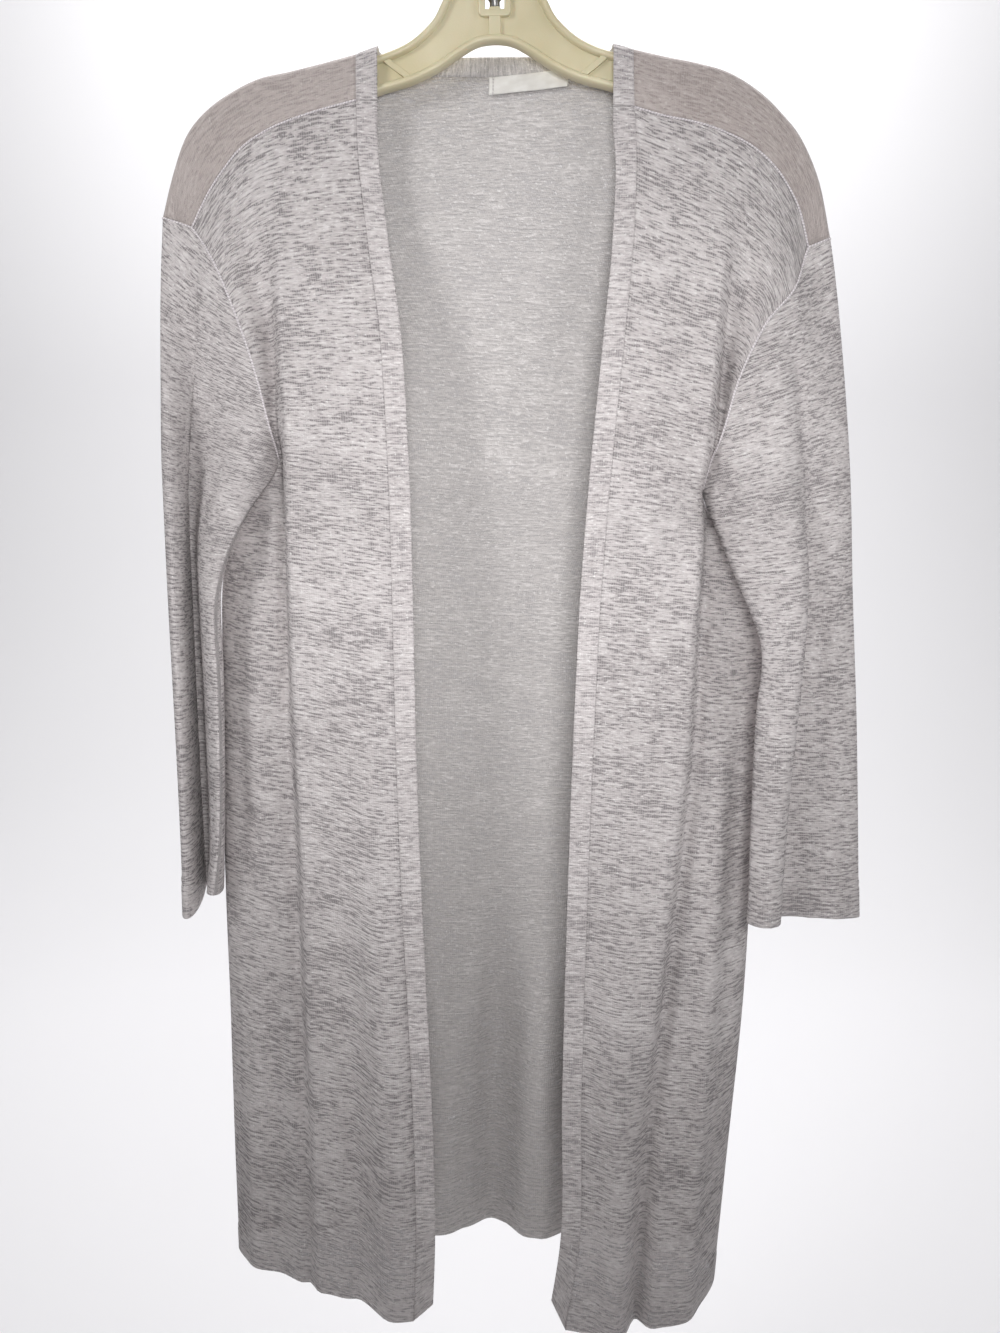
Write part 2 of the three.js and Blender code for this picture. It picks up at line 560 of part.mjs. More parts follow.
// The outer surface of the whole cardigan: welded points, and faces that carry the name of their piece.
const WELD = 100; // points closer than a hundredth of a millimetre are one
class Surface {
  points = [];
  ids = new Map();
  faces = [];

  id(p) {
    const key = [p.x, p.y, p.z].map((v) => Math.round(v * WELD)).join();
    if (!this.ids.has(key)) {
      this.ids.set(key, this.points.length);
      this.points.push(p.clone());
    }
    return this.ids.get(key);
  }

  // A patch of quads. grid is a list of rows of points, and turned swaps the side that faces out.
  patch(piece, grid, turned) {
    const ids = grid.map((row) => row.map((p) => this.id(p)));
    for (let i = 0; i + 1 < ids.length; i += 1) {
      for (let j = 0; j + 1 < ids[i].length; j += 1) {
        const quad = [ids[i][j], ids[i + 1][j], ids[i + 1][j + 1], ids[i][j + 1]];
        if (turned) quad.reverse();
        const corners = quad.filter((id, k) => quad.indexOf(id) === k);
        if (corners.length > 2) this.faces.push({ piece, corners });
      }
    }
    return ids;
  }

  faceNormal(corners) {
    const p = corners.map((id) => this.points[id]);
    const across = p.length === 4 ? p[3] : p[2];
    const a = p[2].clone().sub(p[0]);
    const b = across.clone().sub(p[1]);
    return a.cross(b);
  }

  normals() {
    const sums = this.points.map(() => new THREE.Vector3());
    const areas = this.points.map(() => 0);
    for (const face of this.faces) {
      const n = this.faceNormal(face.corners);
      for (const id of face.corners) {
        sums[id].add(n);
        areas[id] += n.length();
      }
    }
    // The sharper the surface turns at a point, the longer the step that keeps the wall's thickness.
    this.steps = sums.map((n, id) => 1 / clamp(n.length() / areas[id], 0.7));
    return sums.map((n) => n.normalize());
  }

  // The wall under one piece: its outer faces, the same faces moved in, and a rim along the edge.
  wall(piece, wallOf, seamGap = SEAM_GAP) {
    const normals = this.normals();
    const faces = this.faces.filter((f) => f.piece === piece);
    const elsewhere = new Set(this.faces.filter((f) => f.piece !== piece).flatMap((f) => f.corners));
    const edges = new Map();
    for (const { corners } of faces) {
      corners.forEach((id, k) => {
        edges.set(id + ":" + corners[(k + 1) % corners.length], [id, corners[(k + 1) % corners.length]]);
      });
    }
    const rim = [...edges.values()].filter(([a, b]) => !edges.has(b + ":" + a));
    const inward = new Map();
    for (const [a, b] of rim) {
      for (const id of [a, b]) {
        const along = this.points[b].clone().sub(this.points[a]);
        const into = normals[id].clone().cross(along).normalize();
        if (!inward.has(id)) inward.set(id, []);
        inward.get(id).push(into);
      }
    }
    const used = [...new Set(faces.flatMap((f) => f.corners))];
    const place = new Map(used.map((id, k) => [id, k]));
    const outer = used.map((id) => {
      const p = this.points[id].clone();
      if (inward.has(id) && elsewhere.has(id)) {
        const into = inward.get(id).reduce((s, v) => s.add(v), new THREE.Vector3()).normalize();
        const mitre = Math.max(0.6, into.dot(inward.get(id)[0]));
        p.addScaledVector(into, seamGap / 2 / mitre);
      }
      return p;
    });
    const inner = outer.map((p, k) => {
      const wall = wallOf(this.points[used[k]]);
      return p.clone().addScaledVector(normals[used[k]], -wall * this.steps[used[k]]);
    });
    const positions = [...outer, ...inner].flatMap((p) => [p.x, p.y, p.z]);
    const index = [];
    for (const { corners } of faces) {
      const c = corners.map((id) => place.get(id));
      const d = c.map((k) => k + used.length);
      if (c.length === 4 && outer[c[0]].distanceTo(outer[c[2]]) > outer[c[1]].distanceTo(outer[c[3]])) {
        index.push(c[0], c[1], c[3], c[1], c[2], c[3], d[0], d[3], d[1], d[1], d[3], d[2]);
      } else {
        index.push(c[0], c[1], c[2], d[0], d[2], d[1]);
        if (c.length === 4) index.push(c[0], c[2], c[3], d[0], d[3], d[2]);
      }
    }
    for (const [a, b] of rim) {
      const [i, j] = [place.get(a), place.get(b)];
      const [k, l] = [i + used.length, j + used.length];
      // Two pieces that share this edge split its rim along the same diagonal.
      if (b < a) index.push(j, i, k, j, k, l);
      else index.push(j, i, l, i, k, l);
    }
    const geometry = new THREE.BufferGeometry();
    geometry.setAttribute("position", new THREE.Float32BufferAttribute(positions, 3));
    geometry.setIndex(index);
    return geometry;
  }
}

const steps = (n) => Array.from({ length: n + 1 }, (_, i) => i / n);
const HEM_SHARE = HEM_TURN / 660; // of the rows below the underarm
const ROWS = [
  ...steps(ROWS_ABOVE).map((t) => t * UNDERARM_ROW),
  ...[...UNDERARM_STEPS, ...steps(ROWS_BELOW).slice(1, -1)].map((t) =>
    mix(UNDERARM_ROW, 1, t * (1 - HEM_SHARE * 1.2)),
  ),
  mix(UNDERARM_ROW, 1, 1 - HEM_SHARE * 1.15),
  mix(UNDERARM_ROW, 1, 1 - HEM_SHARE),
  1,
];
const CUFF_SHARE = CUFF_TURN / 340; // of a sleeve's underarm seam
const GATHER = 0.45;
const ROWS_TO_ARM = ROWS.filter((row) => row <= UNDERARM_ROW + 1e-9);
const COLUMNS = steps(FRONT_COLUMNS);

// The grid of a patch: rows by columns of points.
const grid = (rows, columns, point) => rows.map((row) => columns.map((column) => point(row, column)));

function addPanels(surface) {
  for (const side of ["left", "right"]) {
    const turned = side === "left";
    surface.patch("front_" + side, grid(ROWS, COLUMNS, (row, c) => frontPoint(side, c, row)), turned);
    surface.patch("back", grid(FLAP_STEPS, COLUMNS, (t, c) => flapPoint(side, c, t)), !turned);
    surface.patch("back", grid(BACK_FLAP_STEPS, COLUMNS, (t, c) => backFlapPoint(side, c, t)), turned);
    surface.patch("back", grid(ROWS, COLUMNS, (row, c) => backPoint(side, c, row)), !turned);
  }
  const across = steps(NECK_COLUMNS).map((t) => 2 * t - 1);
  surface.patch("back", grid(ROWS, across, (row, place) => neckPoint(place, row)), true);
}

function addBands(surface) {
  const across = ([seam, free]) => steps(BAND_COLUMNS).map((t) => seam.clone().lerp(free, t));
  const strip = (edges) => edges.map(across);
  for (const side of ["left", "right"]) {
    const turned = side === "left";
    const down = ROWS.map((row) => [frontPoint(side, 0, row), frontBandEdge(side, row)]);
    surface.patch("band_" + side, strip(down), !turned);
    const up = FLAP_STEPS.map((t) => [flapPoint(side, 0, t), flapBandEdge(side, t)]);
    surface.patch("band_neck", strip(up), turned);
    const over = BACK_FLAP_STEPS.map((t) => [
      backFlapPoint(side, 0, 1 - t),
      neckBandEdge(side, t * NECK_TURN),
    ]);
    surface.patch("band_neck", strip(over), turned);
    const half = steps(NECK_COLUMNS / 2).map((t) => [
      neckPoint(SIGN[side] * (1 - t), 0),
      neckBandEdge(side, mix(NECK_TURN, 1, t)),
    ]);
    surface.patch("band_neck", strip(half), turned);
  }
}

// The share of the way along a row of points at which each one lies.
function shares(points) {
  const lengths = [0];
  for (let i = 1; i < points.length; i += 1) {
    lengths.push(lengths[i - 1] + points[i].distanceTo(points[i - 1]));
  }
  return lengths.map((l) => l / lengths[lengths.length - 1]);
}

// A sleeve starts from the armhole as a closed loop of the panels' own points, from the underarm up the
// front and down the back. Ring by ring it turns into the hanging tube.
function addSleeve(surface, side) {
  const rise = [
    ...ROWS_TO_ARM.map((row) => frontPoint(side, 1, row)).reverse(),
    ...FLAP_STEPS.slice(1).map((t) => flapPoint(side, 1, t)),
  ];
  const fall = [
    ...BACK_FLAP_STEPS.map((t) => backFlapPoint(side, 1, 1 - t)),
    ...ROWS_TO_ARM.slice(1).map((row) => backPoint(side, 1, row)),
  ];
  // Points gather at the two sides and at the corner.
  const gather = (t) => t - (GATHER * Math.sin(4 * Math.PI * t)) / (4 * Math.PI);
  const around = [...shares(rise).map(gather), ...shares(fall).slice(1).map((t) => 1 + gather(t))];
  const loop = [...rise, ...fall.slice(1)];
  const rings = [
    ...steps(SLEEVE_RINGS).slice(0, -1).map((t) => t * (1 - CUFF_SHARE * 1.2)),
    1 - CUFF_SHARE * 1.12,
    1 - CUFF_SHARE,
    1,
  ];
  const rows = rings.map((share) => {
    const turned = crowd(clamp(share / SLEEVE_BLEND));
    return loop.map((start, i) => start.clone().lerp(tubePoint(side, share, around[i]), turned));
  });
  surface.patch("sleeve_" + side, rows, side === "left");
}

const hemWall = (p) => (-p.z > HEM_FROM ? DOUBLED : CLOTH);
const cuffWall = (p) => (-p.z > CUFF_FROM ? DOUBLED : CLOTH);
const bandWall = () => DOUBLED;

// The label, made from the points of the back panel moved in past the wall.
function label() {
  const { from, to, topFrom, topTo, height, wall, gap, columns } = LABEL;
  const surface = new Surface();
  const place = (t, s) => {
    const x = mix(from, to, t);
    const down = mix(topFrom, topTo, t) + height * s;
    const dip = 1 - Math.abs(x / NECK_HALF.right) ** 2.4;
    const y = mix(TOP_DEPTH, BACK_NECK_DEPTH, dip) - DOUBLED - gap;
    return new THREE.Vector3(x, y, -down);
  };
  surface.patch("label", grid(steps(2), steps(columns), (s, t) => place(t, s)), false);
  return surface.wall("label", () => wall);
}

const wasm = await Module();
wasm.setup();

function solid(geometry) {
  const bare = geometry.clone();
  for (const name of Object.keys(bare.attributes)) {
    if (name !== "position") bare.deleteAttribute(name);
  }
  const merged = mergeVertices(bare, 1e-4);
  const triVerts = new Uint32Array(merged.index.array);
  const vertProperties = new Float32Array(merged.attributes.position.array);
  return new wasm.Manifold(new wasm.Mesh({ numProp: 3, vertProperties, triVerts }));
}

function geometryOf(manifold) {
  const mesh = manifold.getMesh();
  const geometry = new THREE.BufferGeometry();
  geometry.setAttribute("position", new THREE.BufferAttribute(mesh.vertProperties, 3));
  geometry.setIndex(new THREE.BufferAttribute(mesh.triVerts, 1));
  return geometry;
}

function block(x0, x1, depth, top, bottom) {
  const box = new THREE.BoxGeometry(x1 - x0, depth, bottom - top);
  return box.translate((x0 + x1) / 2, 0, -(top + bottom) / 2);
}

// Hanger and hook are turned about the middle of the hook's bend, so that the origin stays inside its top.
function tilt(geometry) {
  const angle = (-HANGER_TILT * Math.PI) / 180;
  return geometry.translate(0, 0, HOOK_RADIUS).rotateY(angle).translate(0, 0, -HOOK_RADIUS);
}

// The closed outline of the hanger, from the rim's middle line on both sides.
function hangerOutline() {
  const right = HANGER_RIM.map(({ out, down }) => new THREE.Vector2(out, -down));
  const left = HANGER_RIM.slice(1, -1).reverse().map(({ out, down }) => new THREE.Vector2(-out, -down));
  return [...right, ...left];
}

// The rim: an oval section carried round the outline.
function hangerRim(outline) {
  const positions = [];
  const index = [];
  const count = outline.length;
  outline.forEach((p, i) => {
    const before = outline[(i + count - 1) % count];
    const after = outline[(i + 1) % count];
    const along = after.clone().sub(before).normalize();
    for (let k = 0; k < RIM_SIDES; k += 1) {
      const angle = (k / RIM_SIDES) * 2 * Math.PI + Math.PI / RIM_SIDES;
      const across = RIM_HALF_WIDTH * Math.cos(angle);
      positions.push(p.x - along.y * across, RIM_HALF_DEPTH * Math.sin(angle), p.y + along.x * across);
      const [a, b] = [i * RIM_SIDES + k, i * RIM_SIDES + ((k + 1) % RIM_SIDES)];
      const [c, d] = [a, b].map((v) => (v + RIM_SIDES) % (count * RIM_SIDES));
      index.push(a, c, b, b, c, d);
    }
  });
  const geometry = new THREE.BufferGeometry();
  geometry.setAttribute("position", new THREE.Float32BufferAttribute(positions, 3));
  geometry.setIndex(index);
  return geometry;
}

function hangerBody() {
  const outline = hangerOutline();
  const web = new THREE.ExtrudeGeometry(new THREE.Shape(outline), { depth: WEB, bevelEnabled: false });
  web.translate(0, 0, -WEB / 2).rotateX(Math.PI / 2);
  let body = solid(hangerRim(outline)).add(solid(web));
  body = body.add(solid(block(-BOSS.half, BOSS.half, 2 * RIM_HALF_DEPTH, BOSS.top, BOSS.bottom)));
  const { half, depth, top, bottom } = CENTRE_RIB;
  body = body.add(solid(block(-half, half, depth, top, bottom)));
  for (const rib of SLANT_RIBS) {
    for (const sign of [-1, 1]) {
      const [dx, dz] = [rib.outerOut - rib.innerOut, rib.innerDown - rib.outerDown];
      const bar = new THREE.BoxGeometry(Math.hypot(dx, dz), SLANT_RIB.depth, SLANT_RIB.wide);
      bar.rotateY(-sign * Math.atan2(dz, dx));
      const [midOut, midDown] = [(rib.innerOut + rib.outerOut) / 2, (rib.innerDown + rib.outerDown) / 2];
      bar.translate(sign * midOut, 0, -midDown);
      body = body.add(solid(bar));
    }
  }
  const window = block(-WINDOW.half, WINDOW.half, 4 * RIM_HALF_DEPTH, WINDOW.top, WINDOW.bottom);
  body = body.subtract(solid(window));
  const hole = new THREE.CylinderGeometry(WIRE_HOLE, WIRE_HOLE, 30, 12);
  hole.rotateX(Math.PI / 2).translate(0, 0, -(BOSS.top + BOSS.bottom) / 2);
  return tilt(geometryOf(body.subtract(solid(hole))));
}

// The hook: wire from the collar in the window up through the boss, out to one side, and over the rail.
function hook() {
  const radius = HOOK_RADIUS + WIRE;
  const points = [
    [0, -COLLAR.bottom + 2],
    [0, -70],
    [0, -60],
    [0, -53],
    [3, -46],
    [10, -39.5],
    [16.5, -32],
    [19.4, -24],
  ];
  for (let degrees = 0; degrees <= HOOK_TURN; degrees += HOOK_TURN / 10) {
    const angle = (degrees * Math.PI) / 180;
    points.push([radius * Math.cos(angle), -HOOK_RADIUS + radius * Math.sin(angle)]);
  }
  const stops = points.map(([x, z]) => new THREE.Vector3(x, 0, z));
  const path = new THREE.CatmullRomCurve3(stops, false, "centripetal");
  const round = new THREE.Shape().absarc(0, 0, WIRE, 0, 2 * Math.PI);
  const wire = new THREE.ExtrudeGeometry(round, { extrudePath: path, steps: 44, curveSegments: 5 });
  const collar = new THREE.CylinderGeometry(COLLAR.radius, COLLAR.radius, COLLAR.bottom - COLLAR.top, 14);
  collar.rotateX(Math.PI / 2).translate(0, 0, -(COLLAR.top + COLLAR.bottom) / 2);
  return tilt(geometryOf(solid(wire).add(solid(collar))));
}

const knit = new THREE.MeshStandardMaterial({ color: 0xb5aeb2, roughness: 0.95, metalness: 0 });
const doubledKnit = new THREE.MeshStandardMaterial({ color: 0xb0a9ae, roughness: 0.95, metalness: 0 });
const wovenLabel = new THREE.MeshStandardMaterial({ color: 0xf3f1ec, roughness: 0.7, metalness: 0 });
const plastic = new THREE.MeshStandardMaterial({ color: 0xcdc3a0, roughness: 0.45, metalness: 0 });
const steel = new THREE.MeshStandardMaterial({ color: 0x9c9b99, roughness: 0.25, metalness: 1 });

const cardigan = new THREE.Group();
function add(name, geometry, material) {
  const mesh = new THREE.Mesh(geometry, material);
  mesh.name = name;
  cardigan.add(mesh);
}

const surface = new Surface();
addPanels(surface);
addBands(surface);
addSleeve(surface, "left");
addSleeve(surface, "right");

add("back", surface.wall("back", hemWall), knit);
add("band_neck", surface.wall("band_neck", bandWall, 2.6 * SEAM_GAP), doubledKnit);
for (const side of ["left", "right"]) {
  add("front_" + side, surface.wall("front_" + side, hemWall), knit);
  add("sleeve_" + side, surface.wall("sleeve_" + side, cuffWall, 1.6 * SEAM_GAP), knit);
  add("band_" + side, surface.wall("band_" + side, bandWall), doubledKnit);
}
add("label", label(), wovenLabel);
add("hanger", hangerBody(), plastic);
add("hook", hook(), steel);

export default cardigan;
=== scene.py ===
# A long open-fronted cardigan of thin slub knit on a moulded plastic clothes hanger with a wire hook.
# Tables and sizes are in millimetres, and the finished meshes are in metres. The front faces -Y, and +X is to
# the right as one looks at the front. The origin is the point inside the top of the hook that rests on the
# rail. Heights are given as "down", the distance below that point, and places across as "out" from the
# middle.
import math

import bpy
import numpy as np
from mathutils import Matrix, Vector


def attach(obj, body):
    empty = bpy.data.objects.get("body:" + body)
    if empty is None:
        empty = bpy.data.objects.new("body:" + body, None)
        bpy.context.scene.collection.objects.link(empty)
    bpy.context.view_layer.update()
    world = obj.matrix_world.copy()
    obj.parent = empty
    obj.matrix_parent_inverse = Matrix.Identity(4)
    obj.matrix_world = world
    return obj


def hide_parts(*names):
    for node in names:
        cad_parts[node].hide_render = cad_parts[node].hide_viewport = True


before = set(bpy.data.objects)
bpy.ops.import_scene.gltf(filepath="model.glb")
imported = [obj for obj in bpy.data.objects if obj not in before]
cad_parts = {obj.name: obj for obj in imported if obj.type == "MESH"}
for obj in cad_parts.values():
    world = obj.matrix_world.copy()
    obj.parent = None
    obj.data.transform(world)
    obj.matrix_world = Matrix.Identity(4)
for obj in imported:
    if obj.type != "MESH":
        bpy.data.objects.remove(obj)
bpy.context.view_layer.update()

MM = 0.001
SIDES = ("left", "right")
SIGN = {"left": -1, "right": 1}

# The photograph's frame and the place of the camera
PICTURE = (1000, 1333)
FOCAL_PIXELS = 1050
CAMERA_PLACE = (0.0115, -0.8, -0.426)
CAMERA_DOWN = math.radians(9)
CAMERA_ROLL = math.radians(0.75)

# Cloth
KNIT = 1.1
DOUBLED = 2.1
BAND_WIDTH = 15
HEM_TURN = 20
CUFF_TURN = 18
SEAM_RIDGE = 0.75
# Points closer together than one part in this many of a millimetre are welded.
WELD = 200

# The turned-up edges: over what height the second layer begins, how far they swell, how deep the stitches
# draw them in, and how far those lie below the turn
HEM_EASE = 1.6
HEM_SWELL = 0.55
STITCH_SINK = 0.5
STITCH_BESIDE = 1.5

# Where the cloth passes over the arms of the hanger
TOP_DEPTH = 8.8
TOP_ROUND = 5
TIP_DEPTH = 4.5
TIP_FROM = 0.76

UNDERARM = {"left": 398, "right": 418}
UNDERARM_ROW = 0.32
NECK_HALF = {"left": 95, "right": 99}
BACK_NECK_DOWN = 124.5
BACK_NECK_DEPTH = 16.5
NECK_CURVE = 2.4
BODY_LENGTH = 660


class Table:
    """Rows of named columns, read as smooth curves along the first column."""

    def __init__(self, names, *rows):
        self.names = names.split()
        self.rows = np.array(rows, float)

    def at(self, name, where):
        x = self.rows[:, 0]
        y = self.rows[:, self.names.index(name)]
        places = np.arange(len(x))
        low = np.maximum(places - 1, 0)
        high = np.minimum(places + 1, len(x) - 1)
        slope = (y[high] - y[low]) / (x[high] - x[low])
        where = np.asarray(where, float)
        i = np.clip(np.searchsorted(x, where) - 1, 0, len(x) - 2)
        span = x[i + 1] - x[i]
        t = np.clip((where - x[i]) / span, 0, 1)
        first = y[i] * (2 * t**3 - 3 * t**2 + 1) + slope[i] * span * (t**3 - 2 * t**2 + t)
        return first + y[i + 1] * (3 * t**2 - 2 * t**3) + slope[i + 1] * span * (t**3 - t**2)


# The shoulder from the neck outwards: its ridge, the seam on the front below it, and the line on the back
# where the flat of the back panel begins.
SHOULDER_COLUMNS = "share ridgeOut ridgeDown seamOut seamDown backOut backDown"
SHOULDER = {
    "left": Table(
        SHOULDER_COLUMNS,
        (0.0, 95, 117.2, 95, 149.5, 95, 133),
        (0.15, 118, 123.3, 117, 155.2, 118, 138),
        (0.3, 142, 129.2, 140, 162.5, 142, 143.5),
        (0.45, 164, 134.2, 160, 170.9, 162, 149),
        (0.6, 186.5, 145, 177.5, 182.8, 182, 160),
        (0.72, 205, 158.5, 189.5, 196.5, 197, 173),
        (0.82, 218, 175, 199.5, 210, 208, 187.5),
        (0.91, 228.5, 201, 207.5, 222.5, 219, 212),
        (1.0, 236.5, 228, 214.5, 235, 227, 237),
    ),
    "right": Table(
        SHOULDER_COLUMNS,
        (0.0, 99, 111.6, 101, 151.5, 99, 128),
        (0.15, 122, 116.2, 122, 157, 122, 132),
        (0.3, 146, 120.4, 145, 161, 146, 136.5),
        (0.45, 168, 126.4, 165, 167, 167.5, 142),
        (0.6, 190, 138.8, 185, 176.3, 188.5, 154),
        (0.72, 207, 153.5, 199.5, 187.5, 204.5, 168),
        (0.82, 221.5, 170, 211.5, 201.5, 218, 184),
        (0.91, 236, 198, 222, 218.5, 231, 209),
        (1.0, 246.5, 236, 230, 243, 240, 245),
    ),
}

# The armhole seam from the shoulder to the underarm, on the front and on the back. closing is 1 where the
# front and the back meet in one rounded edge, and low where the sleeve carries the surface on.
ARMHOLE_COLUMNS = "share frontOut frontDown backOut backDown frontClosing backClosing"
ARMHOLE = {
    "left": Table(
        ARMHOLE_COLUMNS,
        (0.0, 214.5, 235, 227, 237, 0.35, 0.35),
        (0.2, 199, 256, 217, 266, 0.3, 0.3),
        (0.4, 185.5, 285, 205, 298, 0.28, 0.3),
        (0.6, 172.5, 320, 189, 334, 0.33, 0.38),
        (0.8, 162.5, 358, 171, 370, 0.52, 0.6),
        (0.92, 157.5, 384, 160, 390, 0.8, 0.85),
        (1.0, 156, 398, 156, 398, 1, 1),
    ),
    "right": Table(
        ARMHOLE_COLUMNS,
        (0.0, 230, 243, 240, 245, 0.35, 0.35),
        (0.2, 218, 274, 230, 277, 0.3, 0.3),
        (0.4, 198, 299, 216, 311, 0.28, 0.3),
        (0.6, 182.5, 333, 199, 349, 0.33, 0.38),
        (0.8, 171, 375, 179, 387, 0.52, 0.6),
        (0.92, 163.5, 403, 166, 409, 0.8, 0.85),
        (1.0, 161, 418, 161, 418, 1, 1),
    ),
}

# Half the width of the body at its side edges below the underarm, where they go on behind the sleeves, and
# how far behind the middle plane they hang there.
SIDE = Table(
    "down left right backLeft backRight",
    (398, 156, 160.5, 0, 0),
    (410, 161.5, 160.7, 1.5, 0),
    (418, 168, 161, 5, 0),
    (430, 179, 166, 13, 6),
    (445, 191, 179, 18, 14),
    (460, 198, 192, 19, 18),
    (480, 203, 204, 17, 18),
    (505, 204.5, 212, 13, 14),
    (530, 204.5, 215, 11, 11),
    (580, 204.5, 215, 7, 7),
    (660, 205, 213, 3, 3),
    (740, 204.8, 213, 1, 1),
    (830, 203.5, 211.5, 0, 0),
    (950, 203, 205, 0, 0),
    (1085, 201, 198, 0, 0),
)

# The free edge of the band, from the shoulder seam to the hem.
FREE_EDGE = Table(
    "down left right",
    (146, 81, 86),
    (190, 79, 89),
    (250, 71, 87),
    (310, 62, 82),
    (410, 55.5, 74),
    (500, 52.5, 69),
    (610, 50, 66.5),
    (725, 45.5, 65),
    (890, 37.5, 64.5),
    (1000, 34, 66),
    (1085, 36, 56),
)

# How far the front hangs before the middle plane, and the back behind it.
DEPTH = Table(
    "down front back",
    (110, 8, 8),
    (150, 8, 8),
    (190, 9.5, 9.5),
    (230, 15, 13),
    (270, 22, 17),
    (320, 28, 20.5),
    (400, 34, 23.5),
    (500, 38, 25),
    (700, 41, 26),
    (900, 44, 25),
    (1085, 48, 23),
)

# The bottom edge from the band's seam to the side, and the back's from the side to the middle.
HEM = Table(
    "share left right backLeft backRight",
    (0.0, 1075, 1085, 1051, 1053),
    (0.1, 1077, 1087, 1051, 1054),
    (0.2, 1067, 1088, 1051, 1055),
    (0.35, 1054, 1085, 1052, 1056),
    (0.6, 1049, 1080, 1050, 1061),
    (0.8, 1045, 1070, 1047, 1064),
    (1.0, 1048, 1065, 1048, 1065),
)
FREE_CORNER = {"left": 1061, "right": 1060}
BACK_MIDDLE_HEM = 1049

# The fold beside each armhole: the front's flat part ends at inner, and the cloth falls back behind it as far
# as outer. Below the underarm the whole side lies that far back.
ARMHOLE_FOLD = Table(
    "down leftInner leftOuter rightInner rightOuter depth",
    (200, 154, 186, 173, 197, 0),
    (240, 153, 181, 171, 193, 5),
    (290, 151, 171, 168, 187, 10),
    (340, 150, 163, 165, 178, 14),
    (390, 149, 160, 163, 168, 18),
    (420, 148.5, 230, 162, 230, 28),
    (450, 148, 260, 161, 260, 33),
    (480, 147, 260, 159, 260, 30),
    (520, 146, 260, 157, 260, 24),
    (600, 143, 260, 156, 260, 18),
    (700, 139, 260, 151, 260, 15),
    (820, 136, 260, 139, 260, 12),
    (950, 132, 260, 127, 260, 7),
    (1090, 128, 260, 122, 260, 3),
)
SIDE_TURN = 0.5
FOLD_EDGE = 6
FOLD_RETURN = 9

# Long folds: x0 and down0 at the top, x1 and down1 at the bottom. sink pushes the cloth towards the back of
# the room, and half the width is reach.
FRONT_FOLDS = (
    (-112, 620, -88, 1090, 7, 15),
    (-74, 560, -66, 1090, -5, 18),
    (-166, 700, -160, 1090, 5, 12),
    (108, 640, 104, 1095, -6, 17),
    (133, 780, 126, 1095, 7, 9),
    (183, 540, 176, 930, -6, 9),
    (168, 900, 158, 1095, -5, 16),
)
BACK_FOLDS = (
    (14, 720, 9, 1080, 15, 17),
    (56, 760, 48, 1080, -13, 18),
    (-30, 800, -36, 1080, -9, 22),
    (92, 700, 92, 1080, 8, 20),
    (-84, 640, -92, 1080, 10, 20),
    (-136, 560, -140, 1080, -8, 18),
    (140, 600, 146, 1080, -8, 18),
)
FOLD_FADE = 0.45
SIDE_CLEAR = 26

# The sleeves. The flattened tube is folded lengthwise: seen from above, its middle line runs from the
# underarm side (in) by two corners (one, two) to the outer side (out). half is half the tube's thickness.
SLEEVE_COLUMNS = "share inX inY oneX oneY twoX twoY outX outY half"
SLEEVE = {
    "left": Table(
        SLEEVE_COLUMNS,
        (0.0, 156, 0, 182, 0, 209, 0, 236.5, 0, 19),
        (0.08, 161.5, -15, 190, 3, 220, 5, 237, -8, 16),
        (0.18, 187.5, -25, 209, 8, 230, 10, 236, -15, 11),
        (0.3, 198.5, -31, 219, 15, 235, 16, 233, -21, 8.6),
        (0.52, 197.5, -34, 220, 20, 235, 21, 231, -26, 7.6),
        (0.75, 198, -35, 219.3, 22, 233.5, 23, 229, -28, 6.6),
        (0.9, 201, -34, 217.8, 22, 231.8, 23, 228, -30, 6.2),
        (1.0, 206, -33, 217.2, 21, 230.8, 22, 227.8, -31, 6.2),
    ),
    "right": Table(
        SLEEVE_COLUMNS,
        (0.0, 161, 0, 189, 0, 218, 0, 246.5, 0, 19),
        (0.1, 171, -12, 222, -14, 226, -2, 256, -2, 15),
        (0.22, 188, -26, 228, -29, 231, -7, 264, -4, 11.5),
        (0.35, 203.5, -35, 229, -37, 231, -11, 270.8, -6, 9),
        (0.5, 201.5, -37, 227, -41, 229, -13, 277, -7, 8.4),
        (0.7, 201.5, -37, 222, -43, 227, -14, 286.5, -8, 8),
        (1.0, 203, -37, 219, -43, 226, -15, 298, -9, 8),
    ),
}
CORNER = 9
PINCH = 0.4
PINCH_REACH = 0.16
CUFF = {"left": {"out": 748, "in": 728}, "right": {"out": 747, "in": 742}}
SLEEVE_BLEND = 0.34
SLEEVE_LENGTH = {"left": 330, "right": 324}
GATHER = 0.45

# The band's free edge round the neck, from the ridge of the shoulder to the middle of the back.
NECK_EDGE = {
    "left": Table(
        "share out depth down",
        (0.0, 80, 0, 111.6),
        (0.12, 79.5, 5.5, 112.6),
        (0.25, 75.5, 10, 113),
        (0.5, 55, 15, 112.4),
        (1.0, 0, 16.5, 110.8),
    ),
    "right": Table(
        "share out depth down",
        (0.0, 85, 0, 108.2),
        (0.12, 84.5, 5.5, 108.6),
        (0.25, 80, 10, 109.2),
        (0.5, 56, 15, 110),
        (1.0, 0, 16.5, 110.8),
    ),
}
NECK_TURN = 0.25

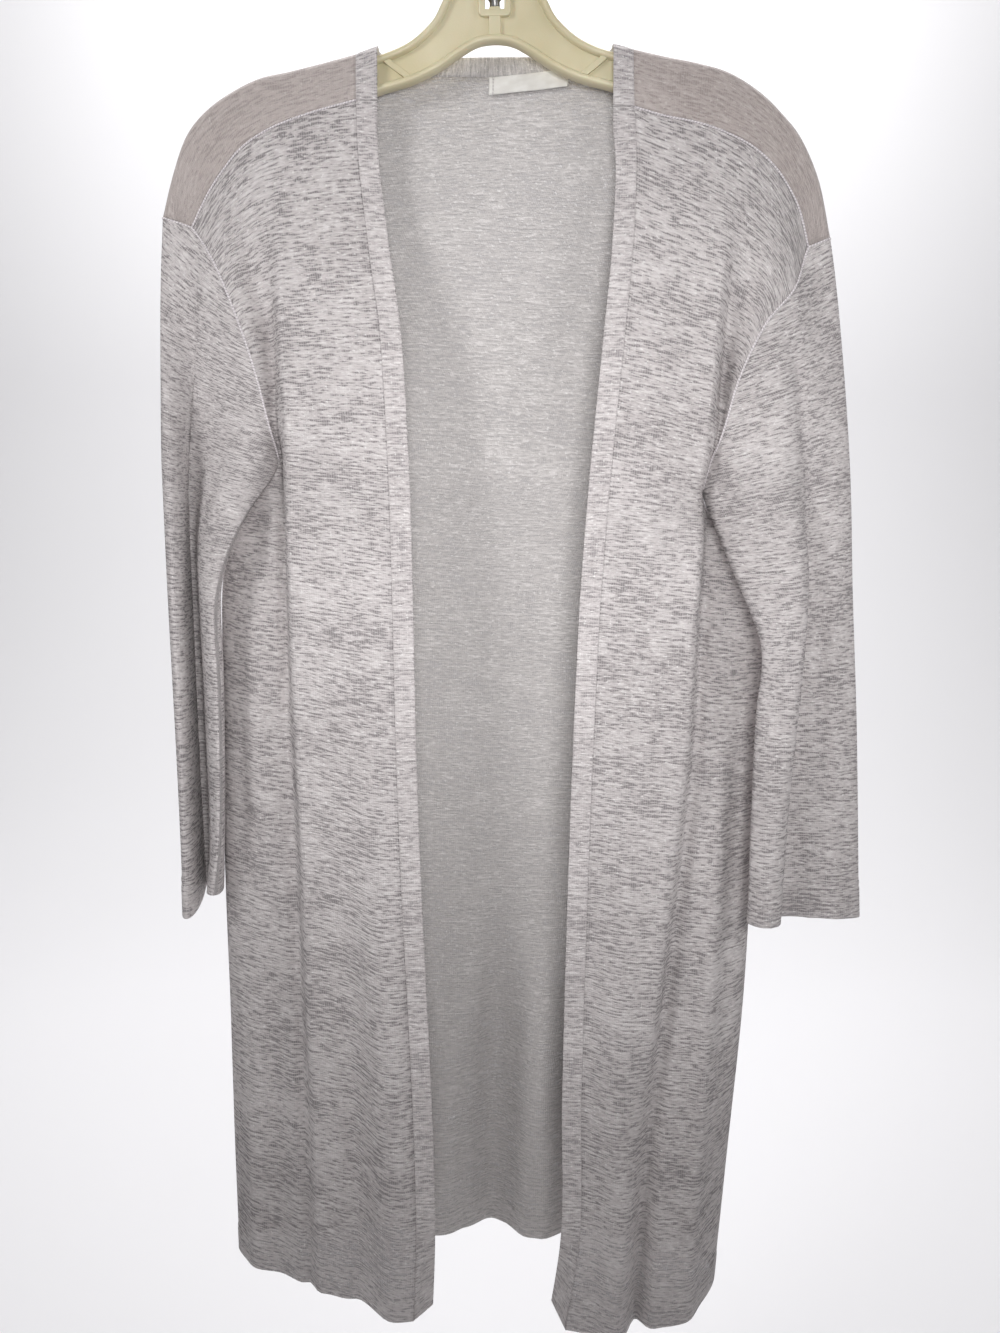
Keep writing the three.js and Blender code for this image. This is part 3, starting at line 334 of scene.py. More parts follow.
# Creases finer than the folds, in the same columns. push is towards the back of the room.
FRONT_CREASES = (
    (-160, 236, -148, 640, 7.5, 4),
    (-152, 220, -139, 660, -3.2, 7),
    (-149, 560, -134, 1090, 5.2, 5),
    (-141, 540, -126, 1090, -2.8, 8),
    (176, 230, 160, 640, 7.0, 4),
    (167, 220, 150, 660, -3.2, 7),
    (162, 560, 129, 1090, 5.6, 6),
    (152, 540, 118, 1090, -3.0, 8),
    (-176, 236, -158, 330, 2.6, 7),
    (-160, 200, -146, 350, -2.2, 9),
    (-136, 190, -128, 420, 2.0, 10),
    (-118, 240, -112, 560, -1.6, 9),
    (-182, 430, -156, 520, 2.4, 7),
    (-176, 500, -170, 720, -2.0, 8),
    (-186, 560, -182, 820, 1.8, 6),
    (-141, 560, -132, 900, -2.0, 5),
    (-56, 700, -48, 980, 2.4, 6),
    (-58, 900, -50, 1090, -2.6, 8),
    (-104, 820, -96, 1090, 2.2, 6),
    (-140, 900, -136, 1090, -2.6, 7),
    (-186, 880, -182, 1085, -2.4, 7),
    (190, 250, 172, 360, 2.6, 7),
    (176, 210, 156, 330, -2.2, 9),
    (150, 190, 140, 420, 1.8, 11),
    (122, 230, 116, 560, -1.5, 10),
    (184, 440, 162, 560, 2.2, 7),
    (172, 560, 160, 760, -2.6, 6),
    (196, 600, 190, 900, 2.0, 6),
    (148, 620, 138, 900, 2.0, 6),
    (96, 900, 92, 1090, 2.4, 6),
    (116, 960, 110, 1090, -2.8, 6),
    (142, 900, 140, 1090, -2.4, 7),
    (186, 900, 176, 1085, 2.4, 8),
    (86, 700, 82, 1000, 1.6, 6),
)
BACK_CREASES = (
    (-10, 170, -22, 420, 1.6, 14),
    (44, 180, 52, 460, -1.5, 14),
    (-52, 200, -60, 520, -1.4, 12),
    (4, 640, -8, 900, -1.8, 11),
    (30, 780, 26, 1085, 2.8, 7),
    (-18, 860, -16, 1085, 2.6, 7),
    (52, 940, 46, 1085, 2.6, 6),
    (-110, 700, -114, 1085, 2.4, 10),
    (116, 720, 118, 1085, -2.4, 10),
    (-160, 500, -166, 1085, 2.2, 9),
    (166, 520, 172, 1085, 2.0, 9),
    (-130, 190, -150, 420, 2.0, 12),
    (130, 190, 150, 420, 2.0, 12),
)

# Sleeve creases: place round the sleeve (0 to 2) and share of its length at both ends, push outwards, and
# reach round the sleeve.
SLEEVE_CREASES = {
    "left": (
        (0.28, 0.1, 0.2, 0.5, -1.8, 0.05),
        (0.12, 0.3, 0.1, 0.98, 1.0, 0.04),
        (0.2, 0.45, 0.16, 1.0, -0.9, 0.03),
        (0.85, 0.2, 0.9, 0.9, -1.2, 0.04),
        (0.76, 0.1, 0.8, 0.6, 1.2, 0.05),
        (1.3, 0.2, 1.4, 0.9, 1.2, 0.07),
        (1.75, 0.3, 1.7, 0.95, -1.2, 0.06),
    ),
    "right": (
        (0.5, 0.02, 0.44, 0.3, -2.2, 0.05),
        (0.36, 0.05, 0.2, 0.4, 2.0, 0.05),
        (0.24, 0.2, 0.16, 0.7, -1.8, 0.04),
        (0.7, 0.15, 0.74, 0.9, -1.4, 0.04),
        (0.84, 0.3, 0.8, 1.0, 1.1, 0.05),
        (0.64, 0.4, 0.62, 1.0, 1.0, 0.03),
        (1.3, 0.2, 1.35, 0.9, 1.4, 0.07),
        (1.7, 0.3, 1.65, 0.95, -1.4, 0.06),
    ),
}
# Where creases come in and die away, as shares of their length, of the panel's height and of its width
CREASE_IN = 0.3
CREASE_OUT = 0.75
CREASE_TOP = 0.06
CREASE_SIDE = 0.86
# A crease that ends below this, or beyond this share of a sleeve, runs off the edge.
HEM_FROM = 1080
CUFF_FROM = 0.99
# Small random waves: how wide and tall they are, how high, and the seed they are drawn with
RIPPLES = ((42, 120, 0.55, 3), (17, 46, 0.3, 8), (8, 20, 0.12, 5))
SLEEVE_RIPPLE = {"wide": 14, "tall": 60, "high": 0.35, "seed": 21, "around": 90, "along": 330, "rear": 900}
RANDOM_GRID = 64

# Label sewn inside the back neck, along the band's seam. before is how far it lies in front of the seam's
# depth.
LABEL = {"from": -2, "to": 55, "topFrom": 125.5, "topTo": 119.5, "height": 12, "before": 3.4}
LABEL_STITCH = {"count": 5, "half": 0.8, "radius": 0.28}

# Hanger
HANGER_TILT = 1.5
RIM_HALF_WIDTH = 2.8
RIM_HALF_DEPTH = 5.7
WEB = 3
HANGER_RIM = (
    (0, 62.8),
    (13, 63.2),
    (22, 67),
    (29, 74),
    (34.5, 83),
    (42, 95.5),
    (58, 109),
    (77, 117),
    (95, 121),
    (118, 125.6),
    (142, 131),
    (165, 137),
    (184, 147.5),
    (197, 159),
    (203.5, 170),
    (205, 178),
    (201, 185.5),
    (192, 187),
    (178, 181),
    (158, 169.5),
    (134, 157),
    (108, 146),
    (82, 137.5),
    (60, 131.5),
    (42, 123.8),
    (26, 114),
    (13, 107.4),
    (0, 105.6),
)
WINDOW = {"half": 7.5, "top": 75, "bottom": 88}
CENTRE_RIB = {"half": 3.5, "depth": 8, "top": 87, "bottom": 106}
# The slanting ribs: their inner end out, outer end out, inner end down, outer end down.
SLANT_RIBS = ((62, 77, 130, 119), (112, 126, 146, 128), (158, 171, 168, 140))
SLANT_RIB = {"wide": 3, "depth": 8}
SURROUND = {"wide": 3, "top": 64, "halfDepth": 4.6, "corner": 2.5, "bevel": 0.8}
RIM_SIDES = 24
RIM_SQUARE = 0.8
RIB_BEVEL = 0.6
WIRE = 1.9
HOOK_RADIUS = 18
HOOK_STEM = ((0, -84), (0, -70), (0, -60), (0, -53), (3, -46), (10, -39.5), (16.5, -32), (19.4, -24))
HOOK_STEPS = 11
HOOK_STEP = 20.5
# The collar's outline as distance from the wire's middle and down
COLLAR = ((0, 77), (3.4, 77), (4.6, 77.8), (4.6, 80), (3.6, 81), (3.6, 84.5), (3, 85.6), (0, 85.6))
COLLAR_SIDES = 28

# The stage, in metres
FLOOR = {"down": -1.6, "reach": 9.0, "wall": 3.2, "bend": 1.6, "top": 6.0}
# Each light's place, the point it looks at, its size, its watts and its spread in degrees
LIGHTS = {
    "key": ((-1.15, -1.0, 0.3), (0, 0, -0.34), 0.5, 1.4, 60),
    "near": ((0.1, -0.88, -0.35), (0.01, 0, -0.48), 0.4, 1.25, 80),
    "fill": ((1.2, -0.8, 0.1), (0, 0, -0.42), 0.8, 1.15, 75),
    "rear": ((0.2, 1.3, 0.6), (0, 0, -0.3), 1.0, 4, 180),
    "wall": ((0, 0.9, 2.4), (0, 3.0, -0.2), 1.6, 135, 180),
}
WORLD_COLOUR = (0.94, 0.94, 0.95, 1)
WORLD_STRENGTH = 0.14

# The knit, in metres
WALE = 0.0017
COURSE = 0.0014
# How steeply the courses rise from each front's band to its side, and across the back to the right. Below 0
# they fall.
COURSE_SLOPE = {"left": 0.09, "right": -0.09, "back": 0.04}
# The courses of a sleeve run up and outwards near the armhole, by this angle, and level out between from and
# to.
SLEEVE_COURSE_TURN = {"left": 42, "right": 30, "from": 250, "to": 600, "about": 200}
# The thread of the seams and the yarns of the label, in metres
THREAD_TWIST = 0.0022
THREAD_LEAN = 900
LABEL_ROW = 0.00045
LABEL_THREAD = 0.0006

# Colours as seen on a screen, 0 to 255
KNIT_LIGHT = (208, 201, 201)
KNIT_DARK = (194, 187, 187)
KNIT_INSIDE = (202, 198, 196)
SLUB = (230, 225, 224)
# Painted shade: the dark of the garment's shaded inside, seen through the knit's thin places
THIN_PLACE_SHADE = (116, 111, 114)
FLECK = (242, 239, 238)
YOKE_TINT = (190, 170, 160)
# Painted light and shade of the seam thread: lighter on the ridges of its twist, darker in its grooves
THREAD_LIT_RIDGE = (232, 226, 228)
THREAD_SHADED_GROOVE = (200, 193, 196)
PLASTIC_LIGHT = (219, 210, 180)
PLASTIC_DARK = (206, 196, 162)
STEEL_LIGHT = (150, 149, 147)
STEEL_DARK = (104, 100, 95)
LABEL_LIGHT = (246, 244, 240)
LABEL_DARK = (232, 229, 224)
FLOOR_LIGHT = (241, 240, 242)
FLOOR_DARK = (236, 235, 237)


def mix(a, b, t):
    return a + (b - a) * t


def ease(start, end, at):
    t = np.clip((at - start) / (end - start), 0, 1)
    return t * t * (3 - 2 * t)


def crowd(share):
    """Columns crowd together towards the side edge, where the surface turns round."""
    return 1.5 * share - 0.5 * share**3


def round_off(share, closing):
    return np.sqrt(np.maximum(0, 1 - closing * crowd(share) ** 4))


def place3(x, y, z):
    x, y, z = np.broadcast_arrays(x, y, z)
    return np.stack([x, y, z], axis=-1).astype(float)


def travelled(line):
    """The distance along a line of points, at each of them."""
    return np.concatenate([[0], np.cumsum(np.linalg.norm(np.diff(line, axis=0), axis=1))])


def through(a, b, c, d, t):
    """A point between b and c, on the smooth curve through all four."""
    return b + 0.5 * t * (c - a + t * (2 * a - 5 * b + 4 * c - d + t * (3 * (b - c) + d - a)))


def add_object(name, data):
    thing = bpy.data.objects.new(name, data)
    bpy.context.scene.collection.objects.link(thing)
    return thing


def folds_at(folds, x, down):
    y = 0
    for x0, down0, x1, down1, sink, reach in folds:
        along = (down - down0) / (down1 - down0)
        off = (x - mix(x0, x1, along)) / reach
        y = y + sink * ease(0, FOLD_FADE, along) * np.exp(-off * off)
    return y


def fall_back(side, out, down):
    """How far the front falls back at the fold beside the armhole, and all the way to the side below it."""
    past = ease(-FOLD_EDGE, FOLD_EDGE, out - ARMHOLE_FOLD.at(side + "Inner", down))
    returned = ease(-FOLD_RETURN, FOLD_RETURN, out - ARMHOLE_FOLD.at(side + "Outer", down))
    return ARMHOLE_FOLD.at("depth", down) * past * (1 - returned)


def row_down(top, level, bottom, row):
    above = mix(top, level, row / UNDERARM_ROW)
    below = mix(level, bottom, (row - UNDERARM_ROW) / (1 - UNDERARM_ROW))
    return np.where(row <= UNDERARM_ROW, above, below)


def panel_place(side, share, row, line, edge, inner, hem):
    """A point of a panel before it is given its depth, from its inner edge (share 0) to its side edge (1)."""
    shoulder, armhole = SHOULDER[side], ARMHOLE[side]
    above = np.minimum(1, row / UNDERARM_ROW)
    level = UNDERARM[side]
    below = row > UNDERARM_ROW
    outer_down = np.where(below, row_down(0, level, HEM.at(hem, 1), row), armhole.at(edge + "Down", above))
    outer = np.where(below, SIDE.at(side, outer_down), armhole.at(edge + "Out", above))
    inner_down = row_down(shoulder.at(line + "Down", 0), level, HEM.at(hem, 0), row)
    t = crowd(share)
    bend = (1 - above) ** 2
    line_out = [shoulder.at(line + "Out", s) for s in (0, 1, share)]
    line_down = [shoulder.at(line + "Down", s) for s in (0, 1, share)]
    bow_out = line_out[2] - mix(line_out[0], line_out[1], t)
    bow_down = line_down[2] - mix(line_down[0], line_down[1], t)
    settle = (line_out[0] - inner(line_down[0])) * bend
    out = mix(inner(inner_down) + settle, outer, t) + bow_out * bend
    hem_bow = HEM.at(hem, share) - mix(HEM.at(hem, 0), HEM.at(hem, 1), t)
    down = mix(inner_down, outer_down, t) + bow_down * bend + hem_bow * ease(UNDERARM_ROW, 1, row)
    clear = np.where(below, ease(0, SIDE_CLEAR, outer - out), 1)
    return out, down, above, clear * ease(0, 0.1, row), ease(0, 0.07, row)


def shoulder_depth(share):
    return mix(TOP_DEPTH, TIP_DEPTH, ease(TIP_FROM, 1, share))


def wander(x, down, wide, tall, seed):
    """A smooth random height from -1 to 1, with hills about wide across and tall high."""
    grid = RANDOM_GRID
    heights = np.random.default_rng(seed).uniform(-1, 1, (grid, grid))
    i, j = np.asarray(x) / wide + grid // 2, np.asarray(down) / tall
    i, j = np.broadcast_arrays(i, j)
    i0, j0 = np.floor(i).astype(int), np.floor(j).astype(int)
    s, t = ease(0, 1, i - i0), ease(0, 1, j - j0)
    corner = [heights[(i0 + a) % grid, (j0 + b) % grid] for a in (0, 1) for b in (0, 1)]
    return mix(mix(corner[0], corner[2], s), mix(corner[1], corner[3], s), t)


def crease_on(along, ends_inside):
    """A crease comes in over its first part, and dies away over its last unless it runs off the edge."""
    return ease(0, CREASE_IN, along) * (1 - ease(CREASE_OUT, 1, along) * ends_inside)


def creases_at(creases, x, down):
    y = 0
    for x0, down0, x1, down1, push, reach in creases:
        along = (down - down0) / (down1 - down0)
        off = (x - mix(x0, x1, np.clip(along, 0, 1))) / reach
        y = y + push * crease_on(along, down1 < HEM_FROM) * np.exp(-off * off)
    for wide, tall, high, seed in RIPPLES:
        y = y + high * wander(x, down, wide, tall, seed)
    return y


def sleeve_creases(side, share, around):
    """How far the sleeve's layers are pushed along Y by its creases."""
    push = 0
    for around0, share0, around1, share1, high, reach in SLEEVE_CREASES[side]:
        along = (share - share0) / (share1 - share0)
        off = (around - mix(around0, around1, min(1, max(0, along)))) / reach
        push = push + high * crease_on(along, share1 < CUFF_FROM) * np.exp(-off * off)
    ring = np.where(around <= 1, around, 2 - around)
    ripple = SLEEVE_RIPPLE
    low = np.where(around <= 1, 0, ripple["rear"])
    x, down = ring * ripple["around"], share * ripple["along"] + low
    waves = wander(x, down, ripple["wide"], ripple["tall"], ripple["seed"])
    push = push + ripple["high"] * waves * np.sin(math.pi * ring)
    facing = np.where(around <= 1, -1, 1)
    return place3(0, push * facing, 0)


def turn_back(side, share, down):
    """Below the underarm both panels turn back towards their common side edge, behind the sleeve."""
    return SIDE.at("back" + side.title(), down) * ease(SIDE_TURN, 1, share)


def front_point(side, share, row):
    def inner(down):
        return FREE_EDGE.at(side, down) + BAND_WIDTH

    out, down, above, folds, settled = panel_place(side, share, row, "seam", "front", inner, side)
    hanging = DEPTH.at("front", down) - fall_back(side, out, down)
    hanging = hanging * round_off(share, ARMHOLE[side].at("frontClosing", above))
    depth = mix(shoulder_depth(share), hanging, settled)
    x = SIGN[side] * out
    y = folds_at(FRONT_FOLDS, x, down) * folds + turn_back(side, share, down) - depth
    creases = creases_at(FRONT_CREASES, x, down) * ease(0, CREASE_TOP, row) * side_fade(share)
    return place3(x, y + creases, -down)


def back_point(side, share, row):
    def inner(_):
        return NECK_HALF[side]

    hem = "back" + side.title()
    out, down, above, folds, settled = panel_place(side, share, row, "back", "back", inner, hem)
    hanging = DEPTH.at("back", down) * round_off(share, ARMHOLE[side].at("backClosing", above))
    depth = mix(shoulder_depth(share), hanging, settled)
    x = SIGN[side] * out
    y = folds_at(BACK_FOLDS, x, down) * folds + turn_back(side, share, down) + depth
    creases = creases_at(BACK_CREASES, x, down) * ease(0, CREASE_TOP, row) * side_fade(share)
    return place3(x, y + creases, -down)


def side_fade(share):
    """Creases die away at the side edge, where the front and the back share their points."""
    return 1 - ease(CREASE_SIDE, 1, share)


def over_shoulder(side, share, t, line, facing):
    """From a line on the front or back (t = 0) straight up until t = 0.5, then round to the ridge (t = 1)."""
    shoulder = SHOULDER[side]
    line_out, line_down = shoulder.at(line + "Out", share), shoulder.at(line + "Down", share)
    deep, high = shoulder_depth(share), mix(TOP_ROUND, TIP_DEPTH - 1, ease(TIP_FROM, 1, share))
    ridge_out, ridge_down = shoulder.at("ridgeOut", share), shoulder.at("ridgeDown", share)
    straight = line_down - ridge_down - high
    angle = np.clip(2 * t - 1, 0, 1) * (math.pi / 2)
    rise = straight * np.minimum(1, 2 * t) + high * np.sin(angle)
    out = mix(line_out, ridge_out, rise / (line_down - ridge_down))
    return place3(SIGN[side] * out, facing * deep * np.cos(angle), -(line_down - rise))


def flap_point(side, share, t):
    return over_shoulder(side, share, t, "seam", -1)


def back_flap_point(side, share, t):
    return over_shoulder(side, share, t, "back", 1)


def neck_point(place, row):
    """The middle of the back below the neck. place runs from -1 at the left end of the neck seam to 1."""
    place, row = np.broadcast_arrays(np.asarray(place, float), np.asarray(row, float))
    share = np.abs(place)
    dip = 1 - share**NECK_CURVE
    left = place < 0
    edges = {side: back_point(side, np.zeros_like(row), row) for side in SIDES}
    edge = np.where(left[..., None], edges["left"], edges["right"])
    line = np.where(left, SHOULDER["left"].at("backDown", 0), SHOULDER["right"].at("backDown", 0))
    level = mix(UNDERARM["left"], UNDERARM["right"], (place + 1) / 2)
    end_hem = np.where(left, HEM.at("backLeft", 0), HEM.at("backRight", 0))
    hem_down = mix(BACK_MIDDLE_HEM, end_hem, share * share)
    down = row_down(mix(line, BACK_NECK_DOWN, dip), level, hem_down, row)
    depth = mix(mix(TOP_DEPTH, BACK_NECK_DEPTH, dip), DEPTH.at("back", down), ease(0, 0.22, row))
    x = place * np.where(left, NECK_HALF["left"], NECK_HALF["right"])
    folds = folds_at(BACK_FOLDS, x, down) * ease(0, 0.1, row)
    creases = creases_at(BACK_CREASES, x, down) * ease(0, CREASE_TOP, row)
    return mix(place3(x, depth + folds + creases, -down), edge, (share**12)[..., None])


def front_band_edge(side, row):
    """The free edge of the band opposite each place on its seam."""
    seam = front_point(side, 0, row)
    corner = (FREE_CORNER[side] - HEM.at(side, 0)) * ease(0.9, 1, row)
    down = -seam[..., 2] + corner
    settle = 1 - ease(0, 0.05, row)
    out = mix(FREE_EDGE.at(side, down), SHOULDER[side].at("seamOut", 0) - BAND_WIDTH, settle)
    return place3(SIGN[side] * out, seam[..., 1] + 1.2 * ease(0, 0.2, row), -down)


def neck_band_edge(side, share):
    table = NECK_EDGE[side]
    return place3(SIGN[side] * table.at("out", share), table.at("depth", share), -table.at("down", share))


def flap_band_edge(side, t):
    seam = flap_point(side, 0, t)
    start, end = front_band_edge(side, 0.0), neck_band_edge(side, 0)
    rise = (seam[..., 2] - start[2]) / (flap_point(side, 0, 1)[2] - start[2])
    return place3(mix(start[0], end[0], rise), seam[..., 1], mix(start[2], end[2], rise))


def sleeve_path(side, share):
    """The middle line of a sleeve's flattened tube, seen from above, with its corners rounded."""
    table = SLEEVE[side]
    names = ("in", "one", "two", "out")
    stops = [np.array([table.at(name + "X", share), table.at(name + "Y", share)]) for name in names]
    points = [stops[0]]
    for k in (1, 2):
        corner = stops[k]
        cuts = []
        for end in (stops[k - 1], stops[k + 1]):
            cuts.append(mix(corner, end, min(0.49, CORNER / np.linalg.norm(end - corner))))
        for t in np.linspace(0, 1, 17):
            points.append(cuts[0] * (1 - t) ** 2 + 2 * corner * t * (1 - t) + cuts[1] * t**2)
    points.append(stops[3])
    return np.array(points)


def tube_points(side, share, around):
    """A ring of the hanging tube. around runs 0 to 1 on the front layer, from the underarm side to the outer
    side, and 1 to 2 back again on the rear layer."""
    t = np.where(around <= 1, around, 2 - around)
    path = sleeve_path(side, share)
    lengths = travelled(path)
    lengths /= lengths[-1]
    step = 0.004
    spot = [np.interp(t, lengths, path[:, k]) for k in (0, 1)]
    before = [np.interp(np.clip(t - step, 0, 1), lengths, path[:, k]) for k in (0, 1)]
    after = [np.interp(np.clip(t + step, 0, 1), lengths, path[:, k]) for k in (0, 1)]
    heading = np.array(after) - np.array(before)
    heading /= np.linalg.norm(heading, axis=0)
    folded = 1 - PINCH * ease(0, SLEEVE_BLEND, share) * np.exp(-(((t - 0.5) / PINCH_REACH) ** 2))
    half = SLEEVE[side].at("half", share) * folded * np.sqrt(1 - np.abs(2 * t - 1) ** 5)
    thick = np.where(around <= 1, half, -half)
    inner_down = mix(UNDERARM[side], CUFF[side]["in"], share)
    outer_down = mix(SHOULDER[side].at("ridgeDown", 1), CUFF[side]["out"], share)
    x = spot[0] + heading[1] * thick
    y = spot[1] - heading[0] * thick
    return place3(SIGN[side] * x, y, -mix(inner_down, outer_down, t))


class Cloth:
    """Grids of points welded into one surface, and made into a thin shell. weave carries each point's place
    in the knit, in metres: across the wales and along them. Its last value is 1 where the cloth passes over
    the hanger's arms, and -1 on the inside."""

    def __init__(self):
        self.points, self.weaves, self.lifts, self.walls, self.quads = [], [], [], [], []
        self.count = 0

    def add(self, points, weave, turned, lift=0.0, wall=KNIT):
        rows, columns = points.shape[:2]
        ids = self.count + np.arange(rows * columns).reshape(rows, columns)
        quads = [ids[:-1, :-1], ids[1:, :-1], ids[1:, 1:], ids[:-1, 1:]]
        if turned:
            quads.reverse()
        self.quads.append(np.stack(quads, axis=-1).reshape(-1, 4))
        self.points.append(points.reshape(-1, 3))
        self.weaves.append(weave.reshape(-1, 3))
        self.lifts.append(np.broadcast_to(lift, (rows, columns)).ravel())
        self.walls.append(np.broadcast_to(wall, (rows, columns)).ravel())
        self.count += rows * columns

    def build(self, name, material):
        points, weaves = np.concatenate(self.points), np.concatenate(self.weaves)
        lifts, walls = np.concatenate(self.lifts), np.concatenate(self.walls)
        quads = np.concatenate(self.quads)
        keys = np.round(points * WELD).astype(np.int64)
        _, first, welded = np.unique(keys, axis=0, return_index=True, return_inverse=True)
        points, weaves, lifts, walls = points[first], weaves[first], lifts[first], walls[first]
        quads = welded.ravel()[quads]
        a, b, c, d = (points[quads[:, k]] for k in range(4))
        facing = np.cross(c - a, d - b)
        keep = np.linalg.norm(facing, axis=1) > 1e-6
        quads, facing = quads[keep], facing[keep]
        normals = np.zeros_like(points)
        for k in range(4):
            np.add.at(normals, quads[:, k], facing)
        normals /= np.maximum(np.linalg.norm(normals, axis=1), 1e-9)[:, None]
        outer = points + normals * lifts[:, None]
        inner = points - normals * walls[:, None]
        count = len(points)
        edges = np.concatenate([quads[:, [k, (k + 1) % 4]] for k in range(4)])
        edges = edges[edges[:, 0] != edges[:, 1]]
        known = set(map(tuple, edges.tolist()))
        rim = [(b, a) for a, b in known if (b, a) not in known]
        faces = []
        for quad in quads.tolist():
            face = [v for k, v in enumerate(quad) if v != quad[k - 1]]
            if len(face) > 2:
                faces.append(face)
                faces.append([v + count for v in reversed(face)])
        faces += [[a, b, b + count, a + count] for a, b in rim]
        inside = weaves.copy()
        inside[:, 2] = -1
        weaves = np.concatenate([weaves, inside])
        return mesh_piece(name, np.concatenate([outer, inner]), faces, material, weaves)


def mesh_piece(name, points, faces, material, weaves=None):
    """A piece of the object, from points in millimetres. It rides with the one rigid body."""
    mesh = bpy.data.meshes.new(name)
    mesh.from_pydata((np.asarray(points) * MM).tolist(), [], faces)
    if weaves is not None:
        layer = mesh.attributes.new("weave", "FLOAT_VECTOR", "POINT")
        layer.data.foreach_set("vector", np.asarray(weaves, np.float32).ravel())
    mesh.polygons.foreach_set("use_smooth", [True] * len(mesh.polygons))
    mesh.materials.append(material)
    mesh.validate()
    piece = add_object(name, mesh)
    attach(piece, "root")
    return piece


def lengths_along(points, axis):
    """The distance travelled along a grid's rows or columns, in millimetres."""
    steps = np.linalg.norm(np.diff(points, axis=axis), axis=2)
    total = np.cumsum(steps, axis=axis)
    return np.insert(total, 0, 0, axis=axis)


def weave_of(points, across=0.0, slope=0.0):
    """The knit's own coordinates over a grid: wales run down its columns, and courses across at a slope."""
    u = lengths_along(points, 1) + across
    v = lengths_along(points, 0).mean(axis=1, keepdims=True) + slope * u
    return np.stack(np.broadcast_arrays(u * MM, v * MM, 0.0), axis=-1)


def hem_lift(to_edge, turn):
    """The turned-up hem: thicker below its line of stitches, and drawn in along that line."""
    swell = HEM_SWELL * (1 - ease(turn, turn + HEM_EASE, to_edge))
    return swell - STITCH_SINK * np.exp(-((to_edge - turn + STITCH_BESIDE) ** 2))


def hem_wall(to_edge, turn):
    return mix(DOUBLED, KNIT, ease(turn, turn + HEM_EASE, to_edge))


ROWS_ABOVE, ROWS_BELOW, HEM_ROWS = 64, 150, 30
PANEL_COLUMNS, NECK_COLUMNS = 56, 56
LOW_PART = 27 / BODY_LENGTH
LOW_SHARES = np.concatenate(
    [np.linspace(0, 1 - LOW_PART, ROWS_BELOW + 1)[1:-1], np.linspace(1 - LOW_PART, 1, HEM_ROWS + 1)]
)
ROWS = np.concatenate(
    [np.linspace(0, UNDERARM_ROW, ROWS_ABOVE + 1), mix(UNDERARM_ROW, 1, LOW_SHARES)]
)[:, None]
TO_HEM = (1 - (ROWS - UNDERARM_ROW) / (1 - UNDERARM_ROW)) * BODY_LENGTH
COLUMNS = np.linspace(0, 1, PANEL_COLUMNS + 1)[None, :]
FLAP_STEPS = np.linspace(0, 1, 21)[:, None]
HEM_WALL = hem_wall(TO_HEM, HEM_TURN)


def make_fronts():
    pieces = {}
    for side in SIDES:
        points = front_point(side, COLUMNS, ROWS)
        cloth = Cloth()
        weave = weave_of(points, across=SIGN[side] * 300, slope=COURSE_SLOPE[side])
        cloth.add(points, weave, side == "left", hem_lift(TO_HEM, HEM_TURN), HEM_WALL)
        pieces[side] = cloth.build("knit_front_" + side, knit)
        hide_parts("front_" + side)
    return pieces


def make_back():
    across = np.linspace(-1, 1, NECK_COLUMNS + 1)[None, :]
    points = np.concatenate(
        [
            back_point("left", COLUMNS[:, ::-1], ROWS),
            neck_point(across, ROWS)[:, 1:-1],
            back_point("right", COLUMNS, ROWS),
        ],
        axis=1,
    )
    cloth = Cloth()
    weave = weave_of(points, slope=COURSE_SLOPE["back"])
    cloth.add(points, weave, True, hem_lift(TO_HEM, HEM_TURN), HEM_WALL)
    for side in SIDES:
        over = [back_flap_point(side, COLUMNS, FLAP_STEPS), flap_point(side, COLUMNS, FLAP_STEPS[::-1])[1:]]
        flap = np.concatenate(over)
        row = weave[0, : PANEL_COLUMNS + 1][::-1] if side == "left" else weave[0, -PANEL_COLUMNS - 1 :]
        rise = lengths_along(flap, 0).mean(axis=1, keepdims=True)
        yoke = ease(4, 16, rise)
        u = np.broadcast_to(row[None, :, 0], flap.shape[:2])
        cloth.add(flap, np.stack(np.broadcast_arrays(u, -rise * MM, yoke), axis=-1), side == "left")
    piece = cloth.build("knit_back", knit)
    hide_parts("back")
    return piece


BAND_ACROSS = np.linspace(0, 1, 15)[None, :]
BAND_SWELL = 0.3 * (1 - np.abs(2 * BAND_ACROSS - 1) ** 4)
BAND_WALL = 0.6 + 1.4 * np.sqrt(np.maximum(0, 1 - np.abs(2 * BAND_ACROSS - 1) ** 4))


def strip_between(seam, free):
    return mix(seam[:, None, :], free[:, None, :], BAND_ACROSS[..., None])


def add_band(cloth, seam, free, turned):
    points = strip_between(seam, free)
    cloth.add(points, weave_of(points), turned, BAND_SWELL, BAND_WALL)


def make_bands():
    pieces = {}
    for side in SIDES:
        cloth = Cloth()
        seam = front_point(side, 0, ROWS[:, 0])
        add_band(cloth, seam, front_band_edge(side, ROWS[:, 0]), side == "right")
        pieces[side] = cloth.build("knit_band_" + side, band_knit)
        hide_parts("band_" + side)
    seams, edges = {}, {}
    t = FLAP_STEPS[:, 0]
    half = np.linspace(0, 1, NECK_COLUMNS // 2 + 1)
    for side in SIDES:
        seams[side] = [flap_point(side, 0, t), back_flap_point(side, 0, 1 - t)[1:]]
        seams[side].append(neck_point(SIGN[side] * (1 - half), np.zeros_like(half))[1:])
        edges[side] = [flap_band_edge(side, t), neck_band_edge(side, t * NECK_TURN)[1:]]
        edges[side].append(neck_band_edge(side, mix(NECK_TURN, 1, half))[1:])
    seam = np.concatenate(seams["left"] + [np.concatenate(seams["right"])[-2::-1]])
    free = np.concatenate(edges["left"] + [np.concatenate(edges["right"])[-2::-1]])
    cloth = Cloth()
    add_band(cloth, seam, free, True)
    pieces["neck"] = cloth.build("knit_band_neck", band_knit)
    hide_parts("band_neck")
    return pieces


